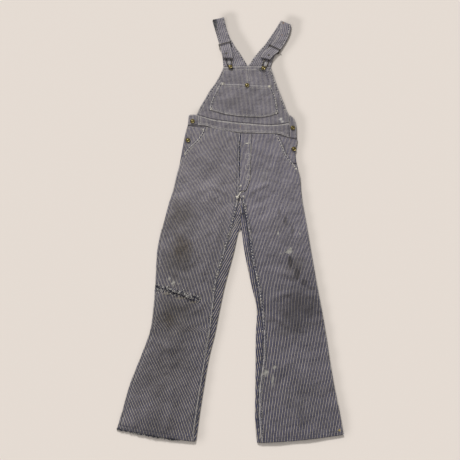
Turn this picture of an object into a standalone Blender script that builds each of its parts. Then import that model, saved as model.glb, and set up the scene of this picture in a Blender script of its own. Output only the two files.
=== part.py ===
"""Bib overalls in striped denim, laid on their back with the front up.

Right and left are the wearer's. The garment's length runs along Y with the
straps at +Y, its width along X, and its back lies on z = 0. Sizes are in
millimetres and are turned into metres where the meshes are made.
"""

import math
from collections import namedtuple

import bmesh
import bpy
import numpy as np

MM = 0.001

# Cloth and seam sizes
CLOTH = 1.2
SEAM_GAP = 0.3
BAND_CLOTH = 1.5
STRAP_CLOTH = 1.6
SIDE_CLEARANCE = 0.25
FOLD_EASE = 0.7
LOFT = 1.0
UNDERLAP = 14.0

# Heights of the middle of each layer of cloth
BACK_LEVEL = CLOTH / 2
FRONT_LEVEL = CLOTH + SEAM_GAP + CLOTH / 2
LAYER_STEP = CLOTH + SEAM_GAP

# Metal sizes
WIRE = 2.0
BUTTON_CAP_RADIUS = 8.5
BUTTON_SHANK_RADIUS = 3.0
BUTTON_SHANK = 2.9
BUTTON_CAP = 2.2
SMALL_SHANK = 0.8
RIVET_RADIUS = 4.0
RIVET_HEIGHT = 1.2
TURNED_SIDES = 16

# Numbers of facets
ROWS_PER_SECTION = 2
FRONT_COLUMNS = 8
BACK_COLUMNS = 4
FLAP_COLUMNS = 3
TURN_STEPS = 4

# Colours: red, green, blue, roughness, metallic
DENIM = (0.175, 0.160, 0.178, 0.88, 0.0)
BRASS = (0.230, 0.190, 0.110, 0.45, 0.9)
IRON = (0.120, 0.110, 0.100, 0.50, 0.9)


# Each section crosses a leg or the hips from the outseam to the inner fold.
# outer: the outseam. edge: where the front panel starts, which is the pocket
# mouth above the hip. seam: the inner edge of the front panel, first the fly
# and then the inseam. fold: the inner edge of the leg, or the centre back.
# lift: the room for the pocket facing. sag: how far the row dips between.
Section = namedtuple(
    "Section", "name outer_x outer_y edge_x edge_y seam_x seam_y fold_x fold_y lift sag"
)

RIGHT_LEG = (
    Section("waist", -154, 301, -91, 294, 38, 268, 35, 268, 2.0, 0),
    Section("pocket", -163, 254, -114, 247, 36, 226, 35, 226, 2.0, 0),
    Section("hip", -172, 190, -160, 192, 34, 152, 35, 152, 2.0, 0),
    Section("seat", -182, 125, -182, 125, 32, 90, 35, 90, 0.5, 0),
    Section("fly_foot", -198, 45, -198, 45, 31, 32, 35, 32, 0.0, 0),
    Section("crotch", -205, 5, -205, 5, 27, 2, 35, 2, 0.0, 0),
    Section("fork", -217, -92, -217, -92, 5, -96, 33, -104, 0.0, 0),
    Section("thigh", -241, -180, -241, -180, -18, -180, 14, -182, 0.0, 0),
    Section("low_thigh", -245, -290, -245, -290, -46, -288, -15, -291, 0.0, 0),
    Section("knee", -249, -375, -249, -375, -55, -374, -35, -378, 0.0, 0),
    Section("shin", -257, -448, -257, -448, -64, -450, -49, -452, 0.0, 0),
    Section("calf", -281, -523, -281, -523, -76, -530, -68, -532, 0.0, 0),
    Section("ankle", -313, -615, -313, -615, -90, -622, -83, -624, 0.0, 0),
    Section("low_hem", -331, -692, -331, -692, -102, -705, -95, -707, 0.0, -4),
    Section("hem", -344, -747, -344, -747, -111, -781, -104, -781, 0.0, -7),
)

LEFT_LEG = (
    Section("waist", 240, 244, 168, 265, 38.6, 268, 36, 268, 2.0, 0),
    Section("pocket", 241, 235, 183, 233, 36.6, 226, 36, 226, 2.0, 0),
    Section("hip", 232, 180, 201, 180, 34.6, 152, 36, 152, 2.0, 0),
    Section("seat", 241, 118, 241, 118, 32.6, 90, 36, 90, 0.5, 0),
    Section("fly_foot", 249, 45, 249, 45, 31.6, 32, 36, 32, 0.0, 0),
    Section("crotch", 253, 3, 253, 3, 43, 2, 36, 2, 0.0, 0),
    Section("fork", 266, -95, 266, -95, 61, -98, 40, -104, 0.0, 0),
    Section("thigh", 276, -182, 276, -182, 71, -184, 52, -184, 0.0, 0),
    Section("low_thigh", 289, -292, 289, -292, 94, -294, 75, -294, 0.0, 0),
    Section("knee", 299, -376, 299, -376, 101, -374, 87, -372, 0.0, 0),
    Section("shin", 307, -456, 307, -456, 107, -456, 83, -456, 0.0, 0),
    Section("calf", 315, -540, 315, -540, 103, -540, 81, -540, 0.0, 0),
    Section("ankle", 325, -622, 325, -622, 91, -624, 79, -626, 0.0, 0),
    Section("low_hem", 337, -700, 337, -700, 88, -712, 77, -712, 0.0, -5),
    Section("hem", 344, -765, 344, -765, 93, -784, 82, -783, 0.0, -6),
)

HIP_SECTION = 2
FLY_FOOT_SECTION = 4
CROTCH_SECTION = 5
FORK_SECTION = 6

# Soft ridges of the worn cloth on the fronts: both ends, width and height
Fold = namedtuple("Fold", "name x0 y0 x1 y1 width height")

FOLDS = (
    Fold("right_groin", -150, 60, 0, -60, 34, 1.2),
    Fold("right_hip_drape", -150, 120, -120, -60, 40, 0.9),
    Fold("right_thigh", -120, -60, -190, -260, 44, 1.0),
    Fold("right_knee_upper", -235, -275, -90, -330, 30, 1.3),
    Fold("right_knee_lower", -240, -350, -110, -360, 34, 1.0),
    Fold("right_shin", -160, -400, -150, -580, 46, 1.1),
    Fold("right_hem", -240, -560, -270, -740, 44, 0.9),
    Fold("left_groin", 60, 10, 190, 60, 34, 1.1),
    Fold("left_thigh", 130, 0, 190, -230, 46, 1.1),
    Fold("left_knee_upper", 110, -300, 270, -330, 34, 1.1),
    Fold("left_knee_lower", 140, -400, 290, -385, 36, 1.2),
    Fold("left_shin", 170, -430, 160, -610, 44, 1.0),
    Fold("left_hem", 260, -560, 270, -740, 48, 1.0),
)

# Edges of the pieces above the legs, each from its lower or left end
BAND_BOTTOM = ((-118, 303), (-84, 299), (-62, 290), (-7, 278), (57, 271), (165, 267.5),
               (190, 261), (213, 252))
BAND_TOP = ((-118, 344), (-79, 331), (-46, 323), (25, 313), (58, 310), (123, 304),
            (170, 304), (213, 311))
BIB_BOTTOM = ((-118, 345), (-79, 332), (-46, 324), (25, 314), (58, 311), (123, 305),
              (170, 305), (213, 312))
BIB_TOP = ((-26, 548), (20, 553), (64, 554), (110, 553), (154, 549))
BIB_LEFT = ((-118, 345), (-112, 380), (-93, 409), (-75, 446), (-57, 475), (-42, 504),
            (-30, 533), (-26, 548))
BIB_RIGHT = ((213, 312), (214, 345), (207, 362), (199, 390), (184, 437), (173, 473),
             (165, 504), (156, 537), (154, 549))
POCKET_BOTTOM = ((-77, 366), (-50, 357), (-14, 346), (41, 338), (106, 335), (140, 339),
                 (176, 352))
POCKET_TOP = ((-33, 483), (-10, 475), (44, 472), (90, 468), (151, 468))
POCKET_LEFT = ((-77, 366), (-66, 409), (-54, 439), (-47, 458), (-33, 483))
POCKET_RIGHT = ((176, 352), (171, 397), (167, 420), (162, 440), (151, 468))
BACK_BAND_BOTTOM = ((-153, 302), (-60, 286), (38, 269), (140, 260), (239, 247))
BACK_BAND_TOP = ((-149, 338), (-60, 322), (40, 306), (140, 300), (237, 304))
BACK_BIB_BOTTOM = ((-104, 331), (-60, 323.5), (40, 307.5), (140, 301.5), (194, 303))
BACK_BIB_TOP = ((-25, 549), (20, 552), (67, 555), (110, 552), (152, 547))
BACK_BIB_LEFT = ((-104, 331), (-70, 440), (-38, 505), (-25, 549))
BACK_BIB_RIGHT = ((194, 303), (176, 440), (161, 505), (152, 547))
RIGHT_TAB_BOTTOM = ((-153, 303), (-136, 305), (-118.5, 304.5))
RIGHT_TAB_TOP = ((-150, 341), (-143, 346), (-118.5, 345))
LEFT_TAB_BOTTOM = ((215.5, 253), (226, 250), (239, 247))
LEFT_TAB_RIGHT = ((239, 247), (240, 285), (239, 306), (235, 322), (229, 334), (221, 341))
LEFT_TAB_TOP = ((215.5, 344), (218, 343.5), (221, 341))

# Straps, from the end at the high back, where they widen into it, to the turned
# front end: place of the middle, its height, the angle of the line across, and the width
Station = namedtuple("Station", "name x y z across width")

LEVEL_BACK_STRAP = STRAP_CLOTH / 2
LEVEL_OVER_STRAP = 2.9
LEVEL_SHOULDER = 5.6
LEVEL_SLIDE = 5.0
LEVEL_END = 7.0
LEVEL_TUCK = 5.0

RIGHT_STRAP = (
    Station("sewn_end", 20.5, 554.5, LEVEL_BACK_STRAP, 2, 91),
    Station("yoke", 5, 604, LEVEL_BACK_STRAP, 8, 69),
    Station("back_low", -11, 643, LEVEL_BACK_STRAP, 14, 55),
    Station("back_mid", -28, 694, LEVEL_BACK_STRAP, 20, 45),
    Station("shoulder_under", -44, 768, LEVEL_BACK_STRAP, 18, 40),
    Station("shoulder_over", -42, 767, LEVEL_SHOULDER, 14, 38),
    Station("front_high", -33, 722, 3.4, 8, 38),
    Station("front_mid", -22, 675, LEVEL_OVER_STRAP, 16, 41),
    Station("under_slide", -18, 643, LEVEL_SLIDE, 18, 40),
    Station("over_hook", -13, 614, LEVEL_END, 6, 40),
    Station("lower_turn", -8, 589, LEVEL_END, -5, 40),
    Station("tuck_start", -8, 589, LEVEL_TUCK, -5, 40),
    Station("tuck_end", -12, 618, LEVEL_TUCK - 0.4, 4, 39),
)

LEFT_STRAP = (
    Station("sewn_end", 111, 554.5, LEVEL_BACK_STRAP, -3, 85),
    Station("yoke", 132, 600, LEVEL_BACK_STRAP, -12, 67),
    Station("back_low", 157, 643, LEVEL_BACK_STRAP, -25, 50),
    Station("back_mid", 184, 694, LEVEL_BACK_STRAP, -31, 43),
    Station("shoulder_under", 214, 746, LEVEL_BACK_STRAP, -32, 42),
    Station("shoulder_over", 215, 742, LEVEL_SHOULDER, -26, 42),
    Station("front_high", 208, 703, 3.4, -22, 42),
    Station("front_mid", 187, 658, LEVEL_OVER_STRAP, -30, 42),
    Station("under_slide", 165, 625, LEVEL_SLIDE, -29, 40),
    Station("over_hook", 147, 606, LEVEL_END, -22, 40),
    Station("lower_turn", 134, 586, LEVEL_END, -15, 39),
    Station("tuck_start", 134, 586, LEVEL_TUCK, -15, 39),
    Station("tuck_end", 146, 610, LEVEL_TUCK - 0.4, -20, 38),
)

TURNS = ("shoulder_under", "lower_turn")

# Wire hook, along its axis from the button up to its bar behind the strap
HookRow = namedtuple("HookRow", "along half_width")
HOOK_ROWS = (
    HookRow(-5.2, 0.0), HookRow(-3.6, 3.6), HookRow(0.0, 4.9), HookRow(6.0, 5.2),
    HookRow(14.0, 8.4), HookRow(24.0, 8.8), HookRow(34.0, 8.0), HookRow(43.0, 7.2),
)
HOOK_SMOOTH = 24
HOOK_DIP_START = 14.0
HOOK_DIP_LENGTH = 16.0

# Wire slide, from the middle of the strap that runs through it
SLIDE_EASE = 1.0
SLIDE_CORNER = 2.0
SLIDE_UPPER_BAR = 11.0
SLIDE_LOWER_BAR = -6.0
SLIDE_SIDE_TOP = 9.0
SLIDE_SIDE_MIDDLE = 4.0
SLIDE_SIDE_END = -4.0

# Buttons and rivets: place, layer that it stands on, and length of shank
RIGHT_BIB_BUTTON = (1, 541)
LEFT_BIB_BUTTON = (127, 538)
POCKET_BUTTON = (63, 463)
RIGHT_BAND_BUTTON = (-136, 318)
RIGHT_HIP_BUTTON = (-151, 241)
LEFT_BAND_BUTTON = (226, 291)
LEFT_HIP_BUTTON = (227, 206)


def catmull(rows, where):
    """Smooth curve through rows of numbers, read at a place counted in rows."""
    rows = np.asarray(rows, float)
    last = len(rows) - 1
    first = min(int(where), last - 1)
    step = where - first
    before = rows[max(first - 1, 0)]
    start, end = rows[first], rows[first + 1]
    after = rows[min(first + 2, last)]
    linear = (end - before) * 0.5
    square = before - 2.5 * start + 2 * end - 0.5 * after
    cube = (after - before) * 0.5 + 1.5 * (start - end)
    return start + step * (linear + step * (square + step * cube))


def edge_curve(points, count):
    """Evenly spaced points on the smooth curve through an edge's points."""
    places = np.linspace(0, len(points) - 1, 40 * len(points))
    dense = np.array([catmull(points, place) for place in places])
    run = np.concatenate([[0], np.cumsum(np.linalg.norm(np.diff(dense, axis=0), axis=1))])
    wanted = np.linspace(0, run[-1], count)
    return np.stack([np.interp(wanted, run, dense[:, axis]) for axis in (0, 1)], axis=1)


def patch(bottom, top, left, right, columns, rows):
    """Grid of points filled in between four edges that meet at their corners."""
    low, high = edge_curve(bottom, columns + 1), edge_curve(top, columns + 1)
    west, east = edge_curve(left, rows + 1), edge_curve(right, rows + 1)
    grid = np.zeros((rows + 1, columns + 1, 2))
    for row in range(rows + 1):
        up = row / rows
        for column in range(columns + 1):
            over = column / columns
            sides = (1 - over) * west[row] + over * east[row]
            ends = (1 - up) * low[column] + up * high[column]
            corners = ((1 - up) * ((1 - over) * low[0] + over * low[-1])
                       + up * ((1 - over) * high[0] + over * high[-1]))
            grid[row, column] = sides + ends - corners
    return grid


def fold_height(x, y):
    """Height that the soft ridges add at one point of a front."""
    total = 0.0
    for fold in FOLDS:
        run = np.array([fold.x1 - fold.x0, fold.y1 - fold.y0], float)
        length = np.linalg.norm(run)
        away = np.array([x - fold.x0, y - fold.y0])
        along = float(away @ run) / length ** 2
        side = float(away[0] * run[1] - away[1] * run[0]) / length
        if 0 < along < 1:
            total += fold.height * math.sin(math.pi * along) * math.exp(-(side / fold.width) ** 2)
    return total


def section_at(leg, place):
    """One section of a leg, read between the table's rows."""
    return Section("between", *catmull([row[1:] for row in leg], place))


def top_height(section, x, y):
    """Middle of the upper layer at one point of a section."""
    span = section.fold_x - section.outer_x
    across = min(max((x - section.outer_x) / span, 0.0), 1.0)
    crown = math.sin(math.pi * across)
    room = section.lift * (1 - across * across)
    ease = FOLD_EASE * across ** 4
    return FRONT_LEVEL + room + ease + crown * LOFT + crown * fold_height(x, y)


def row_point(section, start, end, part):
    """Point on the line across a section, with the row's dip."""
    x = start[0] + (end[0] - start[0]) * part
    y = start[1] + (end[1] - start[1]) * part
    span = section.fold_x - section.outer_x
    across = min(max((x - section.outer_x) / span, 0.0), 1.0)
    return x, y + section.sag * math.sin(math.pi * across)


def places_between(first, last):
    """Places of the rows from one section to another."""
    return np.linspace(first, last, int(round((last - first) * ROWS_PER_SECTION)) + 1)


def material(name, finish):
    """Plain Principled material from a colour, a roughness and a metallic value."""
    made = bpy.data.materials.new(name)
    made.use_nodes = True
    shader = made.node_tree.nodes["Principled BSDF"]
    shader.inputs["Base Color"].default_value = (*finish[:3], 1.0)
    shader.inputs["Roughness"].default_value = finish[3]
    shader.inputs["Metallic"].default_value = finish[4]
    made.diffuse_color = (*finish[:3], 1.0)
    return made


def add_object(name, data, finish, parent):
    """Link one named piece with its own material."""
    piece = bpy.data.objects.new(name, data)
    bpy.context.scene.collection.objects.link(piece)
    data.materials.append(material(name + "_finish", finish))
    piece.parent = parent
    return piece


def cloth_from_grid(name, grid, thickness, parent, skip=None, finish=DENIM):
    """Cloth with a real thickness from rows of points, without the skipped faces."""
    shape = bmesh.new()
    corners = [[shape.verts.new([value * MM for value in point]) for point in row] for row in grid]
    for row in range(len(corners) - 1):
        for column in range(len(corners[0]) - 1):
            if skip and skip(row, column):
                continue
            shape.faces.new((corners[row][column], corners[row][column + 1],
                             corners[row + 1][column + 1], corners[row + 1][column]))
    loose = [corner for corner in shape.verts if not corner.link_faces]
    bmesh.ops.delete(shape, geom=loose, context="VERTS")
    bmesh.ops.recalc_face_normals(shape, faces=shape.faces[:])
    mesh = bpy.data.meshes.new(name)
    shape.to_mesh(mesh)
    shape.free()
    piece = add_object(name, mesh, finish, parent)
    wall = piece.modifiers.new("wall", "SOLIDIFY")
    wall.thickness = thickness * MM
    wall.offset = 0.0
    wall.use_even_offset = True
    mesh.shade_smooth()
    return piece


def front_point(leg, place, start, end, part, rise=0.0):
    """Point of a front, with the height of the upper layer."""
    section = section_at(leg, place)
    x, y = row_point(section, start(section), end(section), part)
    return x, y, top_height(section, x, y) + rise


def edge_of(section):
    return section.edge_x, section.edge_y


def inward(section):
    """Direction from the outseam towards the middle, +1 or -1."""
    return math.copysign(1.0, section.fold_x - section.outer_x)


def seam_of(section):
    return section.seam_x - inward(section) * SIDE_CLEARANCE, section.seam_y


def front_panel(name, leg, parent):
    """Front of one side, from the waist to the hem."""
    grid = [[front_point(leg, place, edge_of, seam_of, column / FRONT_COLUMNS)
             for column in range(FRONT_COLUMNS + 1)]
            for place in places_between(0, len(leg) - 1)]
    return cloth_from_grid(name, grid, CLOTH, parent)


def back_row(leg, place):
    """One row of a back: under the leg, round the inner fold, and up to the inseam."""
    section = section_at(leg, place)
    way = inward(section)
    outer = (section.outer_x, section.outer_y)
    fold = (section.fold_x, section.fold_y)
    top = top_height(section, *fold)
    radius = (top - BACK_LEVEL) / 2
    turn_x = section.fold_x - way * radius
    row = []
    for column in range(BACK_COLUMNS + 1):
        x, y = row_point(section, outer, (turn_x, section.fold_y), column / BACK_COLUMNS)
        row.append((x, y, BACK_LEVEL))
    for step in range(1, TURN_STEPS):
        angle = math.pi * (step / TURN_STEPS - 0.5)
        row.append((turn_x + way * radius * math.cos(angle), section.fold_y,
                    BACK_LEVEL + radius + radius * math.sin(angle)))
    seam = (section.seam_x + way * SIDE_CLEARANCE, section.seam_y)
    for column in range(FLAP_COLUMNS + 1):
        part = column / FLAP_COLUMNS
        x = turn_x + (seam[0] - turn_x) * part
        y = section.fold_y + (seam[1] - section.fold_y) * part
        row.append((x, y, top_height(section, x, y)))
    return row


def back_panel(name, leg, parent):
    """Back of one side, whose inner edge comes round to the front below the crotch."""
    grid = [back_row(leg, place) for place in places_between(0, len(leg) - 1)]
    crotch_row = CROTCH_SECTION * ROWS_PER_SECTION
    fork_row = FORK_SECTION * ROWS_PER_SECTION
    turn_end = BACK_COLUMNS + TURN_STEPS

    def skip(row, column):
        if BACK_COLUMNS <= column < turn_end:
            return row < fork_row
        return column >= turn_end and row < crotch_row

    return cloth_from_grid(name, grid, CLOTH, parent, skip)


def facing(name, leg, parent):
    """Hip piece that shows in the mouth of the slanted pocket and goes under the front."""
    grid = []
    columns = 4
    for place in places_between(0.12, HIP_SECTION + 0.5):
        section = section_at(leg, place)
        inner_x = section.edge_x + inward(section) * UNDERLAP
        row = []
        for column in range(columns + 1):
            part = column / columns
            row.append((section.outer_x + (inner_x - section.outer_x) * part,
                        section.outer_y + (section.edge_y - section.outer_y) * part,
                        FRONT_LEVEL))
        grid.append(row)
    return cloth_from_grid(name, grid, CLOTH, parent)


def fly_placket(parent):
    """Fly strip on the left front, with its foot curved in to the fly edge."""
    columns = 3
    width = 38.0
    foot_start = FLY_FOOT_SECTION - 1.2
    grid = []
    for place in places_between(0.05, FLY_FOOT_SECTION - 0.2):
        section = section_at(LEFT_LEG, place)
        curve = max(0.0, (place - foot_start) / (FLY_FOOT_SECTION - foot_start))
        reach = width * math.sqrt(max(1 - curve ** 2, 0.0))
        seam = seam_of(section)
        span = math.hypot(section.edge_x - seam[0], section.edge_y - seam[1])
        row = []
        for column in range(columns + 1):
            part = 1 - (reach / span) * (1 - column / columns)
            x, y = row_point(section, edge_of(section), seam, part)
            row.append((x, y, top_height(section, x, y) + LAYER_STEP))
        grid.append(row)
    return cloth_from_grid("fly", grid, CLOTH, parent)


def bib_height(x, y):
    """Middle of the bib's cloth, a little crowned over the back."""
    across = (x - 45.0) / 190.0
    up = (y - 430.0) / 150.0
    return FRONT_LEVEL + LOFT * max(0.0, 1 - across ** 2) * max(0.0, 1 - up ** 2)


def flat_piece(name, grid, level, thickness, parent):
    """Cloth from a patch, at one level or at a height read from its place."""
    points = [[(x, y, level(x, y) if callable(level) else level) for x, y in row] for row in grid]
    return cloth_from_grid(name, points, thickness, parent)


def upper_pieces(parent):
    """Bands, tabs, bib, pocket and the high back."""
    front_band_level = BAND_CLOTH + SEAM_GAP + BAND_CLOTH / 2
    band_left = (BAND_BOTTOM[0], BAND_TOP[0])
    band_right = (BAND_BOTTOM[-1], BAND_TOP[-1])
    flat_piece("front_band", patch(BAND_BOTTOM, BAND_TOP, band_left, band_right, 16, 2),
               front_band_level, BAND_CLOTH, parent)
    flat_piece("back_band", patch(BACK_BAND_BOTTOM, BACK_BAND_TOP,
                                  (BACK_BAND_BOTTOM[0], BACK_BAND_TOP[0]),
                                  (BACK_BAND_BOTTOM[-1], BACK_BAND_TOP[-1]), 12, 2),
               BAND_CLOTH / 2, BAND_CLOTH, parent)
    flat_piece("right_tab", patch(RIGHT_TAB_BOTTOM, RIGHT_TAB_TOP,
                                  (RIGHT_TAB_BOTTOM[0], RIGHT_TAB_TOP[0]),
                                  (RIGHT_TAB_BOTTOM[-1], RIGHT_TAB_TOP[-1]), 4, 3),
               front_band_level, BAND_CLOTH, parent)
    flat_piece("left_tab", patch(LEFT_TAB_BOTTOM, LEFT_TAB_TOP,
                                 (LEFT_TAB_BOTTOM[0], LEFT_TAB_TOP[0]), LEFT_TAB_RIGHT, 4, 6),
               front_band_level, BAND_CLOTH, parent)
    flat_piece("back_bib", patch(BACK_BIB_BOTTOM, BACK_BIB_TOP, BACK_BIB_LEFT,
                                 BACK_BIB_RIGHT, 8, 6), BACK_LEVEL, CLOTH, parent)
    flat_piece("bib", patch(BIB_BOTTOM, BIB_TOP, BIB_LEFT, BIB_RIGHT, 10, 10),
               bib_height, CLOTH, parent)
    flat_piece("bib_pocket", patch(POCKET_BOTTOM, POCKET_TOP, POCKET_LEFT, POCKET_RIGHT, 10, 6),
               lambda x, y: bib_height(x, y) + LAYER_STEP, CLOTH, parent)


def strap_rows(stations):
    """Rows across a strap along its length, with round turns at both folds."""
    rows = []
    for number, station in enumerate(stations):
        rows.append(station)
        if station.name in TURNS:
            following = stations[number + 1]
            radius = abs(following.z - station.z) / 2
            bearing = math.radians((station.across + following.across) / 2)
            toward = 1.0 if station.name == "shoulder_under" else -1.0
            for step in range(1, TURN_STEPS):
                part = step / TURN_STEPS
                reach = toward * radius * math.sin(math.pi * part)
                height = (station.z + following.z) / 2
                height += (station.z - following.z) / 2 * math.cos(math.pi * part)
                rows.append(Station(
                    "turn",
                    station.x + (following.x - station.x) * part - reach * math.sin(bearing),
                    station.y + (following.y - station.y) * part + reach * math.cos(bearing),
                    height,
                    station.across + (following.across - station.across) * part,
                    station.width + (following.width - station.width) * part))
        elif number < len(stations) - 1:
            between = catmull([row[1:] for row in stations], number + 0.5)
            rows.append(Station("between", *between))
    return rows


def strap(name, stations, parent):
    """Strap as one length of doubled cloth from the back panel to its turned end."""
    columns = 3
    grid = []
    for row in strap_rows(stations):
        angle = math.radians(row.across)
        half = row.width / 2
        grid.append([(row.x + half * side * math.cos(angle), row.y + half * side * math.sin(angle),
                      row.z) for side in np.linspace(-1, 1, columns + 1)])
    return cloth_from_grid(name, grid, STRAP_CLOTH, parent)


def wire(name, points, parent, closed=True):
    """Bent wire through points in millimetres."""
    curve = bpy.data.curves.new(name, "CURVE")
    curve.dimensions = "3D"
    curve.bevel_depth = WIRE / 2 * MM
    curve.bevel_resolution = 2
    curve.render_resolution_u = 0
    curve.use_fill_caps = not closed
    spline = curve.splines.new("POLY")
    spline.points.add(len(points) - 1)
    for knot, point in zip(spline.points, points):
        knot.co = (point[0] * MM, point[1] * MM, point[2] * MM, 1.0)
    spline.use_cyclic_u = closed
    return add_object(name, curve, BRASS, parent)


def place_by(station):
    """Function that turns along-strap and across-strap sizes into a place."""
    angle = math.radians(station.across)
    over = (math.cos(angle), math.sin(angle))
    return lambda side, up: (station.x + over[0] * side - over[1] * up,
                             station.y + over[1] * side + over[0] * up)


def slide(name, station, parent):
    """Wire slide: its upper bar crosses over the strap and its lower bar under it."""
    at = place_by(station)
    half = station.width / 2 + WIRE / 2 + SLIDE_EASE
    inset = half - SLIDE_CORNER
    over = station.z + STRAP_CLOTH / 2 + 2 * SEAM_GAP + WIRE / 2
    under = station.z - STRAP_CLOTH / 2 - SEAM_GAP / 2 - WIRE / 2
    between = (over + under) / 2
    outline = [(-half, SLIDE_SIDE_TOP, over), (-inset, SLIDE_UPPER_BAR, over),
               (inset, SLIDE_UPPER_BAR, over), (half, SLIDE_SIDE_TOP, over),
               (half, SLIDE_SIDE_MIDDLE, between), (half, SLIDE_SIDE_END, under),
               (inset, SLIDE_LOWER_BAR, under), (-inset, SLIDE_LOWER_BAR, under),
               (-half, SLIDE_SIDE_END, under), (-half, SLIDE_SIDE_MIDDLE, between)]
    return wire(name, [(*at(side, up), height) for side, up, height in outline], parent)


def hook(name, button, station, parent):
    """Wire hook: round the button's shank, wider above it, with its bar behind the strap."""
    reach = (station.x - button[0], station.y - button[1])
    length = math.hypot(*reach)
    along = (reach[0] / length, reach[1] / length)
    over = (along[1], -along[0])
    loop = [(row.along, row.half_width) for row in HOOK_ROWS]
    loop += [(row.along, -row.half_width) for row in reversed(HOOK_ROWS[1:])]
    dense = edge_curve(loop + loop[:1], HOOK_SMOOTH + 1)[:-1]
    high = bib_height(*button) + CLOTH / 2 + 2 * SEAM_GAP + WIRE / 2
    low = STRAP_CLOTH + SEAM_GAP + WIRE / 2
    points = []
    for up, side in dense:
        part = min(max((up - HOOK_DIP_START) / HOOK_DIP_LENGTH, 0.0), 1.0)
        points.append((button[0] + along[0] * up + over[0] * side,
                       button[1] + along[1] * up + over[1] * side,
                       high + (low - high) * part))
    return wire(name, points, parent)


def turned(name, profile, place, base, finish, parent):
    """Round piece turned about a vertical axis from radii and heights."""
    shape = bmesh.new()
    knots = [shape.verts.new((radius * MM, 0.0, height * MM)) for radius, height in profile]
    edges = [shape.edges.new(pair) for pair in zip(knots, knots[1:])]
    bmesh.ops.spin(shape, geom=knots + edges, cent=(0, 0, 0), axis=(0, 0, 1),
                   angle=math.tau, steps=TURNED_SIDES, use_merge=True)
    bmesh.ops.remove_doubles(shape, verts=shape.verts[:], dist=0.00001)
    bmesh.ops.recalc_face_normals(shape, faces=shape.faces[:])
    mesh = bpy.data.meshes.new(name)
    shape.to_mesh(mesh)
    shape.free()
    mesh.shade_smooth()
    mesh.set_sharp_from_angle(angle=math.radians(40))
    piece = add_object(name, mesh, finish, parent)
    piece.location = (place[0] * MM, place[1] * MM, base * MM)
    return piece


def button(name, place, base, shank, parent):
    """Metal button: shank, rolled rim and a shallow dished middle."""
    cap = BUTTON_CAP_RADIUS
    profile = [(0.0, 0.0), (BUTTON_SHANK_RADIUS, 0.0), (BUTTON_SHANK_RADIUS, shank),
               (cap - 0.8, shank), (cap, shank + 0.8), (cap - 0.9, shank + BUTTON_CAP),
               (cap - 2.4, shank + BUTTON_CAP - 0.5), (0.0, shank + BUTTON_CAP - 0.1)]
    return turned(name, profile, place, base, BRASS, parent)


def rivet(name, station, parent):
    """Flat rivet head on the doubled end of a strap."""
    profile = [(0.0, 0.0), (RIVET_RADIUS, 0.0), (RIVET_RADIUS - 0.5, RIVET_HEIGHT * 0.7),
               (RIVET_RADIUS - 1.6, RIVET_HEIGHT), (0.0, RIVET_HEIGHT * 0.8)]
    base = LEVEL_END + STRAP_CLOTH / 2 + SEAM_GAP + 0.15
    return turned(name, profile, (station.x - 1, station.y - 6), base, IRON, parent)


def named(stations, name):
    return next(station for station in stations if station.name == name)


def clear_scene():
    for item in list(bpy.data.objects):
        bpy.data.objects.remove(item, do_unlink=True)


def centre_on_origin(parent):
    """Shift everything so that the middle of its underside is the origin."""
    bpy.context.view_layer.update()
    graph = bpy.context.evaluated_depsgraph_get()
    corners = []
    for piece in parent.children:
        evaluated = piece.evaluated_get(graph)
        mesh = evaluated.to_mesh()
        corners += [evaluated.matrix_world @ vertex.co for vertex in mesh.vertices]
        evaluated.to_mesh_clear()
    for axis in (0, 1):
        values = [corner[axis] for corner in corners]
        parent.location[axis] = -(min(values) + max(values)) / 2
    parent.location[2] = -min(corner[2] for corner in corners)


def main():
    clear_scene()
    garment = bpy.data.objects.new("garment", None)
    bpy.context.scene.collection.objects.link(garment)
    for side, leg in (("right", RIGHT_LEG), ("left", LEFT_LEG)):
        front_panel(side + "_front", leg, garment)
        back_panel(side + "_back", leg, garment)
        facing(side + "_facing", leg, garment)
    fly_placket(garment)
    upper_pieces(garment)

    bib_buttons = {"right": RIGHT_BIB_BUTTON, "left": LEFT_BIB_BUTTON}
    for side, stations in (("right", RIGHT_STRAP), ("left", LEFT_STRAP)):
        strap(side + "_strap", stations, garment)
        slide(side + "_slide", named(stations, "under_slide"), garment)
        hook(side + "_hook", bib_buttons[side], named(stations, "over_hook"), garment)
        rivet(side + "_rivet", named(stations, "over_hook"), garment)
        bib_top = bib_height(*bib_buttons[side]) + CLOTH / 2 + SEAM_GAP
        button(side + "_bib_button", bib_buttons[side], bib_top, BUTTON_SHANK, garment)

    pocket_top = bib_height(*POCKET_BUTTON) + LAYER_STEP + CLOTH / 2 + SEAM_GAP
    button("pocket_button", POCKET_BUTTON, pocket_top, SMALL_SHANK, garment)
    band_top = 2 * BAND_CLOTH + 2 * SEAM_GAP
    button("right_band_button", RIGHT_BAND_BUTTON, band_top, SMALL_SHANK, garment)
    button("left_band_button", LEFT_BAND_BUTTON, band_top, SMALL_SHANK, garment)
    facing_top = FRONT_LEVEL + CLOTH / 2 + SEAM_GAP
    button("right_hip_button", RIGHT_HIP_BUTTON, facing_top, SMALL_SHANK, garment)
    button("left_hip_button", LEFT_HIP_BUTTON, facing_top, SMALL_SHANK, garment)
    centre_on_origin(garment)


main()
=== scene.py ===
"""Looks of the bib overalls: worn striped denim laid flat with the front up.

Right and left are the wearer's. Sizes are in millimetres in the garment's own
plan, which is the same as in the construction, and become metres in the meshes.
"""
import math
import random
from collections import namedtuple

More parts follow.
